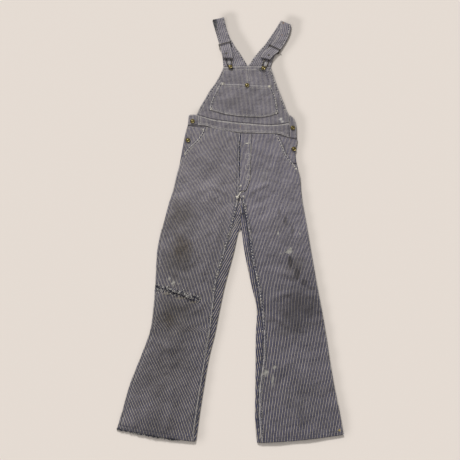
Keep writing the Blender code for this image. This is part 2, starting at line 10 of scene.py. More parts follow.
import bmesh
import bpy
import numpy as np
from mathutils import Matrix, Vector


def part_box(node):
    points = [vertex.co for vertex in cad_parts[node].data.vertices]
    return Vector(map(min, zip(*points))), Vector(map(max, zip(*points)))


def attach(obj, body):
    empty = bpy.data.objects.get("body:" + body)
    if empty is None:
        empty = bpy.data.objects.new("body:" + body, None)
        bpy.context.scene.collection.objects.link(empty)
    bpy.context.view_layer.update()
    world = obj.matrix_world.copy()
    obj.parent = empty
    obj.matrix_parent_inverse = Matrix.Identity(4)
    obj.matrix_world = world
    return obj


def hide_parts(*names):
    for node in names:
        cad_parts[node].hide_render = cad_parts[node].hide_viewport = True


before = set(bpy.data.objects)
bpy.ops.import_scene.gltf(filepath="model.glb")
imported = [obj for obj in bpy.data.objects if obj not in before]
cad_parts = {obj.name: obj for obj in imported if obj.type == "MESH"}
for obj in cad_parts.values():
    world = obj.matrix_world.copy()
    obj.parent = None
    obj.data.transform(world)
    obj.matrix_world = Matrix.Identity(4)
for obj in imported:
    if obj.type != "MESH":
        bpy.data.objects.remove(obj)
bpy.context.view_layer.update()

MM = 0.001

# Cloth and seam sizes, as in the construction
CLOTH = 1.2
SEAM_GAP = 0.3
BAND_CLOTH = 1.5
STRAP_CLOTH = 1.6
SIDE_CLEARANCE = 0.25
FOLD_EASE = 0.7
LOFT = 1.0
UNDERLAP = 14.0
BACK_LEVEL = CLOTH / 2
FRONT_LEVEL = CLOTH + SEAM_GAP + CLOTH / 2
LAYER_STEP = CLOTH + SEAM_GAP
BAND_LEVEL = BAND_CLOTH + SEAM_GAP + BAND_CLOTH / 2

# Fly strip, and the buttons under it whose prints show
FLY_WIDTH = 38.0
FLY_BUTTONS = ((62, 94), (62, 135), (62, 176))

# Metal sizes; the wire is drawn thicker so that it reads in the picture
WIRE = 2.0
WIRE_RADIUS = 0.68 * WIRE
BUTTON_SHANK = 2.9
SMALL_SHANK = 0.8

CHEST_BUTTON = (63.0, 468.0)

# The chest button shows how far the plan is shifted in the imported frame
POCKET_BUTTON = (63.0, 463.0)
low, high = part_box("pocket_button")
SHIFT = np.array([(low.x + high.x) / 2 - POCKET_BUTTON[0] * MM,
                  (low.y + high.y) / 2 - POCKET_BUTTON[1] * MM, 0.0])

# Camera: tilt from straight down, height over the cloth, and distance along Y
CAMERA_TILT = 20.0
CAMERA_HEIGHT = 1.983
CAMERA_LENS = 48.6
CAMERA_PLACE = (-0.18, -821.3)

# Stripe: one dark and one light line together, and the mesh it beats with
STRIPE_PITCH = 4.76 * MM
MESH_LINES = 621.0
BAND_STRENGTH = 0.47

# Line across a leg, from the outer edge to the front's edge, the inseam and the inner fold
Section = namedtuple(
    "Section", "outer_x outer_y edge_x edge_y seam_x seam_y fold_x fold_y lift sag",
    defaults=(0.0, 0))


def leg_sections(high_rows, low_rows):
    """Sections down a leg: by the pocket, and below it, where the outer edge is the front's."""
    return [Section(*row) for row in high_rows] + [Section(*row[:2], *row) for row in low_rows]


# Waist, pocket and hip; then seat, fly foot, crotch, fork, gap, thigh, low thigh, knee, shin,
# calf, ankle, low hem and hem
RIGHT_LEG = leg_sections((
    (-154, 301, -91, 294, 38, 268, 35, 268, 2.0), (-163, 254, -114, 247, 36, 226, 35, 226, 2.0),
    (-172, 190, -160, 192, 34, 152, 35, 152, 2.0),
), (
    (-182, 125, 32, 90, 35, 90, 0.5), (-198, 45, 31, 32, 35, 32), (-209, 5, 27, 2, 35.4, 2),
    (-229, -86, 7, -88, 36.4, -89), (-234.5, -108, 1.5, -107, 27, -107),
    (-244.5, -180, -18, -180, 11, -182), (-246, -290, -46, -288, -17, -291),
    (-249, -375, -55, -374, -35, -378), (-257, -448, -64, -450, -49, -452),
    (-281, -523, -76, -530, -68, -532), (-313, -615, -90, -622, -83, -624),
    (-331, -692, -102, -705, -95, -707, 0.0, -4), (-344, -743, -111, -780, -104, -780, 0.0, -4),
))

LEFT_LEG = leg_sections((
    (240, 244, 168, 265, 38.6, 268, 36, 268, 2.0), (241, 235, 183, 233, 36.6, 226, 36, 226, 2.0),
    (232, 180, 201, 180, 34.6, 152, 36, 152, 2.0),
), (
    (241, 118, 32.6, 90, 36, 90, 0.5), (247, 45, 31.6, 32, 36, 32), (250, 3, 43, 2, 35.8, 2),
    (261.5, -88, 59.5, -89, 37.0, -89), (264, -108, 62.5, -108, 40.5, -107),
    (272.5, -182, 70, -184, 50, -184), (286, -292, 91, -294, 71, -294),
    (297.5, -376, 101, -374, 87, -372), (307, -456, 107, -456, 83, -456),
    (315, -540, 103, -540, 81, -540), (325, -622, 91, -624, 79, -626),
    (337, -700, 88, -712, 77, -712, 0.0, -5), (344, -761, 93, -784, 82, -783, 0.0, -4),
))

# Share of a leg's length where the turned hem is sewn
HEM_LINE = 0.984

HIP_SECTION = 2
FLY_FOOT_SECTION = 4
CROTCH_SECTION = 5
FORK_SECTION = 6
LAST_SECTION = len(RIGHT_LEG) - 1

# Soft ridges and troughs of the worn fronts: both ends, width and height
Fold = namedtuple("Fold", "x0 y0 x1 y1 width height")

FOLDS = [Fold(*row) for row in (
    # broad folds of the right leg, then of the left
    (-150, 60, 0, -60, 34, 2.8), (-150, 120, -120, -60, 40, 2.1), (-120, -60, -190, -260, 44, 2.3),
    (-235, -275, -90, -330, 30, 3.0), (-240, -350, -110, -360, 34, 2.3),
    (-160, -400, -150, -580, 46, 2.5), (-240, -560, -270, -740, 44, 2.1),
    (60, 10, 190, 60, 34, 2.5), (130, 0, 190, -230, 46, 2.5), (110, -300, 270, -330, 34, 2.5),
    (140, -400, 290, -385, 36, 2.8), (170, -430, 160, -610, 44, 2.3),
    (260, -560, 270, -740, 48, 2.3),
    # creases of the right leg
    (-90, 70, 22, 6, 9, 4.2), (-110, 40, 10, -35, 10, -2.2), (-60, 150, 25, 105, 10, 2.5),
    (-110, 200, -60, 120, 12, 2.5), (-168, 120, -110, 30, 13, 3.2),
    (-205, -20, -150, -170, 11, 3.4), (-30, -60, -70, -210, 12, 3.2),
    (-230, -240, -120, -285, 10, 3.8), (-238, -302, -100, -352, 7, 4.5),
    (-60, -330, -130, -395, 11, 3.4), (-220, -400, -190, -540, 11, 3.2),
    (-95, -430, -130, -620, 12, 2.8), (-262, -470, -170, -520, 11, 3.4),
    (-290, -600, -300, -730, 12, 3.2), (-180, -600, -200, -770, 14, 2.8),
    (-172, -392, -108, -532, 8, 4.2), (-244, -330, -205, -385, 9, 3.0),
    # creases of the left leg
    (172, -170, 276, -296, 11, 4.6), (208, -310, 292, -352, 9, 3.4), (44, 16, 150, 76, 9, 4.2),
    (52, -14, 160, 36, 10, -2.2), (90, 170, 150, 110, 10, 2.5), (178, 215, 150, 120, 12, 2.8),
    (236, 120, 190, 20, 13, 3.2), (230, -10, 225, -170, 11, 3.2), (90, -60, 120, -220, 12, 3.4),
    (130, -240, 250, -285, 11, 4.1), (120, -345, 230, -318, 9, 4.2),
    (285, -300, 240, -390, 11, 3.4), (112, -390, 190, -440, 10, 3.8),
    (240, -420, 250, -600, 12, 3.4), (125, -470, 130, -640, 12, 2.8),
    (312, -500, 230, -540, 12, 3.2), (200, -620, 205, -775, 13, 3.2),
    (305, -640, 318, -755, 12, 2.8),
)]

BIB_FOLDS = [Fold(*row) for row in (
    (118, 530, 75, 440, 16, 2.0), (5, 530, 30, 430, 16, 1.7), (-40, 400, 150, 395, 24, 2.0),
    (60, 450, 45, 350, 18, 1.5), (-95, 370, -50, 470, 12, 1.4), (196, 360, 170, 470, 12, 1.4),
)]

# Edges of the pieces above the legs, each from its lower or left end
BAND_BOTTOM = ((-118, 303), (-84, 299), (-62, 290), (-7, 278), (57, 271), (165, 267.5),
               (190, 261), (213, 252))
BAND_TOP = ((-118, 344), (-79, 331), (-46, 323), (25, 313), (58, 310), (123, 304),
            (170, 304), (213, 311))
BIB_BOTTOM = ((-121, 346), *((x, y + 1) for x, y in BAND_TOP[1:]))
BIB_TOP = ((-26, 548), (20, 553), (64, 554), (110, 553), (154, 549))
BIB_LEFT = ((-121, 346), (-110, 376), (-93, 409), (-75, 446), (-57, 475), (-42, 504),
            (-30, 533), (-26, 548))
BIB_RIGHT = ((213, 312), (214, 345), (207, 362), (199, 390), (184, 437), (173, 473),
             (165, 504), (156, 537), (154, 549))
POCKET_BOTTOM = ((-77, 366), (-50, 357), (-14, 346), (41, 338), (106, 335), (140, 339),
                 (176, 352))
POCKET_TOP = ((-33, 483), (-10, 475), (44, 472), (90, 468), (151, 468))
POCKET_LEFT = ((-77, 366), (-66, 409), (-54, 439), (-47, 458), (-33, 483))
POCKET_RIGHT = ((176, 352), (171, 397), (167, 420), (162, 440), (151, 468))
BACK_BAND_BOTTOM = ((-153, 302), (-60, 286), (38, 269), (140, 260), (239, 247))
BACK_BAND_TOP = ((-149, 338), (-60, 322), (40, 306), (140, 300), (237, 304))
BACK_BIB_BOTTOM = ((-104, 331), (-60, 323.5), (40, 307.5), (140, 301.5), (194, 303))
BACK_BIB_TOP = ((-25, 549), (20, 552), (67, 555), (110, 552), (152, 547))
BACK_BIB_LEFT = ((-104, 331), (-70, 440), (-38, 505), (-25, 549))
BACK_BIB_RIGHT = ((194, 303), (176, 440), (161, 505), (152, 547))
RIGHT_TAB_BOTTOM = ((-153, 303), (-136, 305), (-118.5, 304.5))
RIGHT_TAB_TOP = ((-150, 341), (-143, 346), (-118.5, 345))
LEFT_TAB_BOTTOM = ((215.5, 253), (226, 250), (239, 247))
LEFT_TAB_RIGHT = ((239, 247), (240, 285), (239, 306), (235, 322), (229, 334), (221, 341))
LEFT_TAB_TOP = ((215.5, 344), (218, 343.5), (221, 341))

# Levels of the straps' layers
LEVEL_BACK_STRAP = STRAP_CLOTH / 2
LEVEL_OVER_STRAP = 2.9
LEVEL_FRONT_HIGH = 3.4
LEVEL_SHOULDER = 5.6
LEVEL_SLIDE = 5.0
LEVEL_END = 7.0
LEVEL_TUCK = 5.0
LEVEL_TUCK_END = LEVEL_TUCK - 0.4

# Straps, from the end at the high back, where they widen into it, to the turned front end:
# the level of each station, then its middle, the angle of the line across, and the width
Station = namedtuple("Station", "name x y z across width")
STATIONS = {
    "sewn_end": LEVEL_BACK_STRAP, "yoke": LEVEL_BACK_STRAP, "back_low": LEVEL_BACK_STRAP,
    "back_mid": LEVEL_BACK_STRAP, "shoulder_under": LEVEL_BACK_STRAP,
    "shoulder_over": LEVEL_SHOULDER, "front_high": LEVEL_FRONT_HIGH,
    "front_mid": LEVEL_OVER_STRAP, "under_slide": LEVEL_SLIDE, "over_hook": LEVEL_END,
    "lower_turn": LEVEL_END, "tuck_start": LEVEL_TUCK, "tuck_end": LEVEL_TUCK_END,
}


def strap(rows):
    """Stations of a strap, each at its level."""
    return [Station(name, x, y, level, across, width)
            for (name, level), (x, y, across, width) in zip(STATIONS.items(), rows)]


RIGHT_STRAP = strap((
    (20.5, 554.5, 2, 91), (5, 604, 8, 69), (-11, 643, 14, 55), (-28, 694, 20, 45),
    (-46, 768, 18, 46), (-43, 767, 14, 40), (-33, 722, 8, 38), (-22, 675, 16, 41),
    (-18, 643, 18, 40), (-13, 614, 6, 40), (-8, 589, -5, 40), (-8, 589, -5, 40), (-12, 618, 4, 39),
))

LEFT_STRAP = strap((
    (111, 554.5, -3, 85), (132, 600, -12, 67), (157, 643, -25, 50), (184, 694, -31, 43),
    (214, 750, -32, 42), (215, 747, -26, 42), (208, 703, -22, 42), (187, 658, -30, 42),
    (165, 625, -29, 40), (147, 606, -22, 40), (134, 586, -15, 39), (134, 586, -15, 39),
    (146, 610, -20, 38),
))

TURNS = ("shoulder_under", "lower_turn")
TURN_STEPS = 4

# Wire hook, from the button up to its bar behind the strap: how far up, and half its width
HOOK_ROWS = ((-5.2, 0.0), (-3.6, 3.6), (0.0, 4.9), (6.0, 5.2), (14.0, 8.4), (24.0, 8.8),
             (34.0, 8.0), (43.0, 7.2))

RIGHT_BIB_BUTTON = (1, 549)
LEFT_BIB_BUTTON = (125, 543)
RIGHT_BAND_BUTTON = (-136, 318)
RIGHT_HIP_BUTTON = (-151, 241)
LEFT_BAND_BUTTON = (226, 291)
LEFT_HIP_BUTTON = (227, 206)

# Stripe courses: one line of the stripe down each leg, as places on it
RIGHT_GRAIN = ((-72, 264), (-121, 11), (-149, -120), (-176, -345), (-195, -441), (-262, -776))
LEFT_GRAIN = ((144, 264), (164, 11), (196, -275), (199, -441), (216, -776))
BIB_GRAIN = -2.5
FACING_GRAIN = {"right": 7.0, "left": -4.0}
WRAP_GRAIN = {"right": 28.0, "left": -8.0}
STRAP_GRAIN = 0.70
FLAP_GRAIN = 0.72


# Curves and forms

def read_rows(rows, places):
    """Smooth curves through rows of numbers, read at places counted in rows."""
    rows = np.asarray(rows, float)
    places = np.atleast_1d(np.asarray(places, float))
    last = len(rows) - 1
    first = np.clip(places.astype(int), 0, last - 1)
    step = (places - first)[:, None]
    before = rows[np.maximum(first - 1, 0)]
    start, end = rows[first], rows[first + 1]
    after = rows[np.minimum(first + 2, last)]
    linear = (end - before) * 0.5
    square = before - 2.5 * start + 2 * end - 0.5 * after
    cube = (after - before) * 0.5 + 1.5 * (start - end)
    return start + step * (linear + step * (square + step * cube))


def lengths(points):
    """How far along a line each of its points is."""
    return np.concatenate([[0], np.cumsum(np.linalg.norm(np.diff(points, axis=0), axis=1))])


def read_at(distances, run, points):
    """Places at some distances along a line."""
    return np.stack([np.interp(distances, run, column) for column in points.T], 1)


def dense_line(points, steps):
    """Many places on a smooth line through a few, with how far along it they are."""
    dense = read_rows(points, np.linspace(0, len(points) - 1, steps))
    return dense, lengths(dense)


def edge_reader(points):
    """Function that gives the place at a fraction of an edge's length."""
    dense, run = dense_line(points, 40 * len(points))
    return lambda part: read_at(part, run / run[-1], dense)


def ridges(folds, x, y):
    """Height that a table of soft ridges and troughs adds at some places."""
    total = np.zeros_like(x)
    for fold in folds:
        run = np.array([fold.x1 - fold.x0, fold.y1 - fold.y0], float)
        length = np.linalg.norm(run)
        along = ((x - fold.x0) * run[0] + (y - fold.y0) * run[1]) / length ** 2
        side = ((x - fold.x0) * run[1] - (y - fold.y0) * run[0]) / length
        bend = side + 0.05 * length * np.sin(math.pi * along) * math.copysign(1, fold.height)
        shape = np.where((along > 0) & (along < 1), np.sin(math.pi * np.clip(along, 0, 1)), 0)
        total += fold.height * shape * np.exp(-(bend / fold.width) ** 2)
    return total


def rumple(x, y, size):
    """Slow uneven swell of worn cloth, from a few crossing waves."""
    return (np.sin(x / size + 1.3 * np.sin(y / (1.7 * size))) * np.cos(y / (1.3 * size) + 0.4)
            + 0.6 * np.sin((x + 1.8 * y) / (2.1 * size) + 2.0))


def sections(leg, down):
    """The sections of a leg at fractions of its length, as named columns."""
    return Section(*read_rows(leg, np.asarray(down) * LAST_SECTION).T)


def across_part(section, x):
    return np.clip((x - section.outer_x) / (section.fold_x - section.outer_x), 0, 1)


def upper_height(section, x, y):
    """Middle of a leg's upper layer."""
    across = across_part(section, x)
    crown = np.sin(math.pi * across)
    room = section.lift * (1 - across * across)
    ease = FOLD_EASE * across ** 4
    swell = 0.7 * rumple(x, y, 19.0) + 0.7
    return FRONT_LEVEL + room + ease + crown * (LOFT + ridges(FOLDS, x, y) + swell)


def hem_roll(down, x):
    """Rise of the turned hem and its diagonal puckers."""
    last = np.clip((down - HEM_LINE) / 0.004, 0, 1)
    pucker = np.sin(x / 2.4 + 9 * down) * np.exp(-((down - HEM_LINE) / 0.012) ** 2)
    return 0.8 * last + 0.35 * pucker


def leg_row(section, start, end, part):
    """Places on the lines across the sections, with each row's dip."""
    x = start[0] + (end[0] - start[0]) * part
    y = start[1] + (end[1] - start[1]) * part
    return x, y + section.sag * np.sin(math.pi * across_part(section, x))


def inward(leg):
    return math.copysign(1.0, leg[0].fold_x - leg[0].outer_x)


def front_form(leg):
    way = inward(leg)

    def form(across, down):
        section = sections(leg, down)
        start = (section.edge_x, section.edge_y)
        end = (section.seam_x - way * SIDE_CLEARANCE, section.seam_y)
        x, y = leg_row(section, start, end, across)
        z = upper_height(section, x, y) + hem_roll(down, x)
        rim = np.abs(end[0] - x)
        pucker = 0.25 * np.sin(y / 2.2) * np.exp(-((rim - 7) / 5) ** 2)
        z += 0.45 * np.exp(-(rim / 5.0) ** 2) + pucker
        return np.stack([x, y, z], 1)

    return form


# Shares of a back's columns: under the leg, round the fold, up to the inseam
UNDER_SHARE = 0.5
TURN_SHARE = 0.64


def back_form(leg):
    way = inward(leg)

    def form(across, down):
        section = sections(leg, down)
        top = upper_height(section, section.fold_x, section.fold_y)
        radius = (top - BACK_LEVEL) / 2
        turn_x = section.fold_x - way * radius
        under = np.clip(across / UNDER_SHARE, 0, 1)
        outer, turn = (section.outer_x, section.outer_y), (turn_x, section.fold_y)
        x, y = leg_row(section, outer, turn, under)
        z = np.full_like(x, BACK_LEVEL)
        angle = math.pi * ((across - UNDER_SHARE) / (TURN_SHARE - UNDER_SHARE) - 0.5)
        turning = (across > UNDER_SHARE) & (across < TURN_SHARE)
        x = np.where(turning, turn_x + way * radius * np.cos(angle), x)
        z = np.where(turning, BACK_LEVEL + radius + radius * np.sin(angle), z)
        flap = np.clip((across - TURN_SHARE) / (1 - TURN_SHARE), 0, 1)
        seam_x = section.seam_x + way * SIDE_CLEARANCE
        flap_x = turn_x + (seam_x - turn_x) * flap
        flap_y = section.fold_y + (section.seam_y - section.fold_y) * flap
        upper = across >= TURN_SHARE
        x = np.where(upper, flap_x, x)
        y = np.where(upper, flap_y, y)
        rise = upper_height(section, flap_x, flap_y)
        rise += hem_roll(down, flap_x) * np.minimum(flap * 4, 1)
        return np.stack([x, y, np.where(upper, rise, z)], 1)

    return form


def back_cut(across, down):
    """Where a back has no cloth: it only comes round the fold below the fork."""
    place = down * LAST_SECTION
    turn = (across > UNDER_SHARE) & (across < TURN_SHARE) & (place < FORK_SECTION)
    flap = (across > TURN_SHARE) & (place < CROTCH_SECTION)
    return turn | flap


def facing_form(leg):
    way = inward(leg)

    def form(across, down):
        section = sections(leg, (0.12 + down * (HIP_SECTION + 0.38)) / LAST_SECTION)
        inner = section.edge_x + way * UNDERLAP
        x = section.outer_x + (inner - section.outer_x) * across
        y = section.outer_y + (section.edge_y - section.outer_y) * across
        z = FRONT_LEVEL + 0.12 * rumple(x, y, 9.0) * np.sin(math.pi * across)
        return np.stack([x, y, z], 1)

    return form


def fly_form(across, down):
    """Fly strip on the left front, with its foot curved in to the fly edge."""
    place = 0.05 + down * (FLY_FOOT_SECTION - 0.25)
    section = sections(LEFT_LEG, place / LAST_SECTION)
    foot_start = FLY_FOOT_SECTION - 1.2
    curve = np.clip((place - foot_start) / (FLY_FOOT_SECTION - foot_start), 0, 1)
    reach = FLY_WIDTH * np.sqrt(1 - curve ** 2)
    seam = (section.seam_x + SIDE_CLEARANCE, section.seam_y)
    start = (section.edge_x, section.edge_y)
    span = np.hypot(start[0] - seam[0], start[1] - seam[1])
    x, y = leg_row(section, start, seam, 1 - (reach / span) * (1 - across))
    z = upper_height(section, x, y) + LAYER_STEP + 0.3
    imprint = sum(0.6 * np.exp(-((x - button[0]) ** 2 + (y - button[1]) ** 2) / 40.0)
                  for button in FLY_BUTTONS)
    return np.stack([x, y, z + imprint], 1)


# Dome of the bib: its middle and its reach each way
BIB_MIDDLE = (45.0, 430.0)
BIB_REACH = (190.0, 150.0)


def bib_height(x, y):
    across = (x - BIB_MIDDLE[0]) / BIB_REACH[0]
    up = (y - BIB_MIDDLE[1]) / BIB_REACH[1]
    dome = np.maximum(0.0, 1 - across ** 2) * np.maximum(0.0, 1 - up ** 2)
    rise = ridges(BIB_FOLDS, x, y) + 0.45 * rumple(x, y, 14.0) + 0.4
    return FRONT_LEVEL + dome * (LOFT + rise)


def patch_form(bottom, top, left, right, level):
    """Form filled in between four edges, at a level or at a height read from the place."""
    edges = [edge_reader(points) for points in (bottom, top, left, right)]
    corners = [edge(np.array([end]))[0] for edge in edges[:2] for end in (0.0, 1.0)]

    def form(across, up):
        low, high, west, east = (edge(part) for edge, part in zip(edges, (across, across, up, up)))
        u, v = across[:, None], up[:, None]
        blend = ((1 - v) * ((1 - u) * corners[0] + u * corners[1])
                 + v * ((1 - u) * corners[2] + u * corners[3]))
        place = (1 - u) * west + u * east + (1 - v) * low + v * high - blend
        x, y = place[:, 0], place[:, 1]
        z = level(x, y) if callable(level) else np.full_like(x, level)
        return np.stack([x, y, z], 1)

    return form


def strap_stations(stations):
    """Stations along a strap with round turns at both folds, as in the construction."""
    rows = []
    for number, station in enumerate(stations):
        rows.append(list(station[1:]))
        if station.name in TURNS:
            start, end = np.array(station[1:]), np.array(stations[number + 1][1:])
            bearing = math.radians((start[3] + end[3]) / 2)
            reach = (1 if station.name == "shoulder_under" else -1) * abs(end[2] - start[2]) / 2
            for part in np.arange(1, TURN_STEPS) / TURN_STEPS:
                row = start + (end - start) * part
                row[:2] += reach * math.sin(math.pi * part) * np.array(
                    [-math.sin(bearing), math.cos(bearing)])
                row[2] = (start[2] + end[2] + (start[2] - end[2]) * math.cos(math.pi * part)) / 2
                rows.append(row)
        elif number < len(stations) - 1:
            rows.append(list(read_rows([row[1:] for row in stations], number + 0.5)[0]))
    return np.array(rows)


def strap_form(stations):
    rows = strap_stations(stations)
    run = lengths(rows[:, :3])

    def form(across, along):
        places = np.interp(along * run[-1], run, np.arange(len(rows)))
        row = read_rows(rows, places)
        angle = np.radians(row[:, 3])
        side = (across - 0.5) * row[:, 4]
        x = row[:, 0] + side * np.cos(angle)
        y = row[:, 1] + side * np.sin(angle)
        roll = 0.25 * np.exp(-((np.abs(side) - row[:, 4] / 2) / 3.0) ** 2)
        return np.stack([x, y, row[:, 2] + roll * (row[:, 2] > LEVEL_BACK_STRAP + 0.5)], 1)

    form.length = run[-1]
    form.width = lambda along: np.interp(along * run[-1], run, rows[:, 4])
    return form


# Stripe courses over the cloth

def leg_grain(course):
    """Stripe coordinates that follow a line down a leg."""
    course = np.asarray(course, float)

    def grain(points, across, down):
        y = points[:, 1]
        dense_y = np.linspace(course[0, 1], course[-1, 1], 200)
        places = np.interp(-dense_y, -course[:, 1], np.arange(len(course)))
        dense_x = read_rows(course, places)[:, 0]
        line_x = np.interp(-y, -dense_y, dense_x)
        slope = np.interp(-y, -dense_y, np.gradient(dense_x, dense_y))
        return np.stack([(points[:, 0] - line_x) / np.sqrt(1 + slope ** 2), y], 1) * MM

    return grain


def turned_grain(degrees):
    """Stripe coordinates along straight lines that lean by an angle."""
    angle = math.radians(degrees)

    def grain(points, across, down):
        x, y = points[:, 0], points[:, 1]
        return np.stack([x * math.cos(angle) - y * math.sin(angle),
                         x * math.sin(angle) + y * math.cos(angle)], 1) * MM

    return grain


def back_grain(course, lean):
    """The wrapped strip of a back leans its own way."""
    under, flap = leg_grain(course), turned_grain(lean)

    def grain(points, across, down):
        upper = (across > (UNDER_SHARE + TURN_SHARE) / 2)[:, None]
        turned = flap(points, across, down) * (FLAP_GRAIN, 1.0)
        return np.where(upper, turned, under(points, across, down))

    return grain


def strap_grain(form):
    """The stripe runs along a strap."""
    def grain(points, across, along):
        over = (across - 0.5) * form.width(along) * STRAP_GRAIN
        return np.stack([over, along * form.length], 1) * MM

    return grain


# Materials

class Wires:
    """Short way to add and join nodes in one tree."""

    def __init__(self, tree):
        self.tree = tree

    def join(self, socket, value):
        if isinstance(value, bpy.types.NodeSocket):
            self.tree.links.new(value, socket)
        else:
            socket.default_value = value

    def feed(self, node, **inputs):
        for name, value in inputs.items():
            self.join(node.inputs[name.replace("_", " ")], value)

    def node(self, kind, settings=None, numbered=(), **inputs):
        """Node with its settings, and its inputs by number or by name."""
        made = self.tree.nodes.new("ShaderNode" + kind)
        for name, value in (settings or {}).items():
            setattr(made, name, value)
        for number, value in numbered:
            self.join(made.inputs[number], value)
        self.feed(made, **inputs)
        return made

    def maths(self, operation, *values, clamp=False):
        settings = {"operation": operation, "use_clamp": clamp}
        return self.node("Math", settings, enumerate(values)).outputs[0]

    def vector(self, operation, *values):
        return self.node("VectorMath", {"operation": operation}, enumerate(values)).outputs

    def split(self, vector):
        return self.node("SeparateXYZ", Vector=vector).outputs

    def mix(self, part, first, second, blend="MIX"):
        settings = {"data_type": "RGBA", "blend_type": blend}
        return self.node("Mix", settings, ((0, part), (6, first), (7, second))).outputs[2]

    def dim(self, color, red, green=None, blue=None):
        """A colour times a shade, or times a shade each for red, green and blue."""
        if green is None:
            green = blue = red
        shades = self.node("CombineColor", Red=red, Green=green, Blue=blue).outputs[0]
        return self.mix(1.0, color, shades, "MULTIPLY")

    def ramp(self, value, low, high):
        made = self.node("MapRange", {"interpolation_type": "SMOOTHSTEP"}, Value=value,
                         From_Min=low, From_Max=high)
        return made.outputs["Result"]

    def noise(self, vector, scale, detail, roughness):
        return self.node("TexNoise", Vector=vector, Scale=scale, Detail=detail,
                         Roughness=roughness).outputs["Fac"]

    def bump(self, height, strength, distance, **under):
        return self.node("Bump", Height=height, Strength=strength, Distance=distance,
                         **under).outputs["Normal"]

    def group(self, tree, **inputs):
        return self.node("Group", {"node_tree": tree}, **inputs).outputs


def new_group(name, inputs, outputs):
    """Node group with sockets by name and kind: itself, its wires, what it is given, its end."""
    group = bpy.data.node_groups.new(name, "ShaderNodeTree")
    for way, sockets in (("INPUT", inputs), ("OUTPUT", outputs)):
        for label, kind in sockets.items():
            group.interface.new_socket(label, in_out=way, socket_type="NodeSocket" + kind)
    given = group.nodes.new("NodeGroupInput").outputs
    return group, Wires(group), given, group.nodes.new("NodeGroupOutput")


def stripe_group():
    """Woven stripe with its twill and thread unevenness."""
    group, wires, given, end = new_group(
        "woven_stripe", {"Grain": "Vector", "Place": "Vector", "Dark": "Color", "Light": "Color",
                         "Fade": "Float"}, {"Color": "Color", "Height": "Float"})
    maths = wires.maths
    over, along = wires.split(given["Grain"])[:2]
    wander = maths("SUBTRACT", wires.noise(given["Place"], 38.0, 3.0, 0.6), 0.5)
    phase = maths("ADD", maths("DIVIDE", over, STRIPE_PITCH), maths("MULTIPLY", wander, 1.1))
    wave = maths("SINE", maths("MULTIPLY", phase, math.tau))
    slub = wires.node("CombineXYZ", X=maths("MULTIPLY", over, 1400.0),
                      Y=maths("MULTIPLY", along, 90.0)).outputs[0]
    thread = wires.noise(slub, 1.0, 3.0, 0.6)
    edge = maths("ADD", wave, maths("MULTIPLY", maths("SUBTRACT", thread, 0.5), 0.45))
    worn = wires.noise(given["Place"], 26.0, 4.0, 0.6)
    fade = maths("ADD", given["Fade"], maths("MULTIPLY", worn, 0.10))
    dark = wires.mix(maths("MULTIPLY", fade, 0.55, clamp=True), given["Dark"], given["Light"])
    color = wires.mix(wires.ramp(edge, -0.35, 0.35), dark, given["Light"])
    twill = maths("SINE", maths("MULTIPLY", maths("ADD", over, along), 7200.0))
    wires.feed(end, Color=wires.dim(color, maths("MULTIPLY_ADD", thread, 0.34, 0.83)),
               Height=maths("MULTIPLY_ADD", twill, 0.3, maths("MULTIPLY", thread, 0.9)))
    return group


def band_group():
    """Broad soft bands that the fine stripe makes when it is seen from the front.

    They are the stripe less a mesh of lines that spread evenly from a place over the hips.
    """
    group, wires, given, end = new_group(
        "broad_bands", {"Grain": "Vector", "Place": "Vector", "Strength": "Float"},
        {"Band": "Float"})
    maths = wires.maths
    place = wires.split(given["Place"])
    tilt = math.radians(CAMERA_TILT)
    far = CAMERA_HEIGHT * math.cos(tilt) - (SHIFT[1] + CAMERA_PLACE[1] * MM) * math.sin(tilt)
    depth = maths("MULTIPLY_ADD", place["Y"], math.sin(tilt), far)
    spread = maths("SUBTRACT", place["X"], SHIFT[0] + CAMERA_PLACE[0] * MM)
    mesh = maths("MULTIPLY", maths("DIVIDE", spread, depth), MESH_LINES)
    stripes = maths("DIVIDE", wires.split(given["Grain"])["X"], STRIPE_PITCH)
    wave = maths("SINE", maths("MULTIPLY", maths("SUBTRACT", mesh, stripes), math.tau))
    down = wires.ramp(place["Y"], SHIFT[1] + 0.10, SHIFT[1] - 0.50)
    reach = maths("MULTIPLY", given["Strength"], maths("MULTIPLY_ADD", down, 0.85, 0.15))
    wires.feed(end, Band=maths("MULTIPLY_ADD", wave, reach, 1.0))
    return group


def spot_group():
    """Soft uneven spot round a place: 1 in the middle, 0 outside."""
    group, wires, given, end = new_group(
        "soft_spot", {"Place": "Vector", "Middle": "Vector", "Reach": "Vector",
                      "Ragged": "Float", "Core": "Float"}, {"Mask": "Float"})
    maths = wires.maths
    away = wires.vector("SUBTRACT", given["Place"], given["Middle"])[0]
    scaled = wires.vector("DIVIDE", away, given["Reach"])[0]
    rough = maths("SUBTRACT", wires.noise(scaled, 1.6, 4.0, 0.65), 0.5)
    ragged = maths("MULTIPLY", maths("MULTIPLY", rough, given["Ragged"]), 2.0)
    far = maths("ADD", wires.vector("LENGTH", scaled)["Value"], ragged)
    wires.feed(end, Mask=maths("SUBTRACT", 1.0, wires.ramp(far, given["Core"], 1.0)))
    return group


def seam_group():
    """Uneven line beside an edge, where a seam is rubbed light or lies in shade."""
    group, wires, given, end = new_group(
        "seam_line", {"Distance": "Float", "Inset": "Float", "Width": "Float",
                      "Strength": "Float", "Place": "Vector"}, {"Mask": "Float"})
    maths = wires.maths
    away = maths("ABSOLUTE", maths("SUBTRACT", given["Distance"], given["Inset"]))
    line = maths("SUBTRACT", 1.0, wires.ramp(away, 0.0, given["Width"]))
    uneven = wires.ramp(wires.noise(given["Place"], 125.0, 2.0, 0.6), 0.36, 0.60)
    part = maths("MULTIPLY", line, maths("MULTIPLY_ADD", uneven, 0.95, 0.05))
    wires.feed(end, Mask=maths("MULTIPLY", part, given["Strength"], clamp=True))
    return group


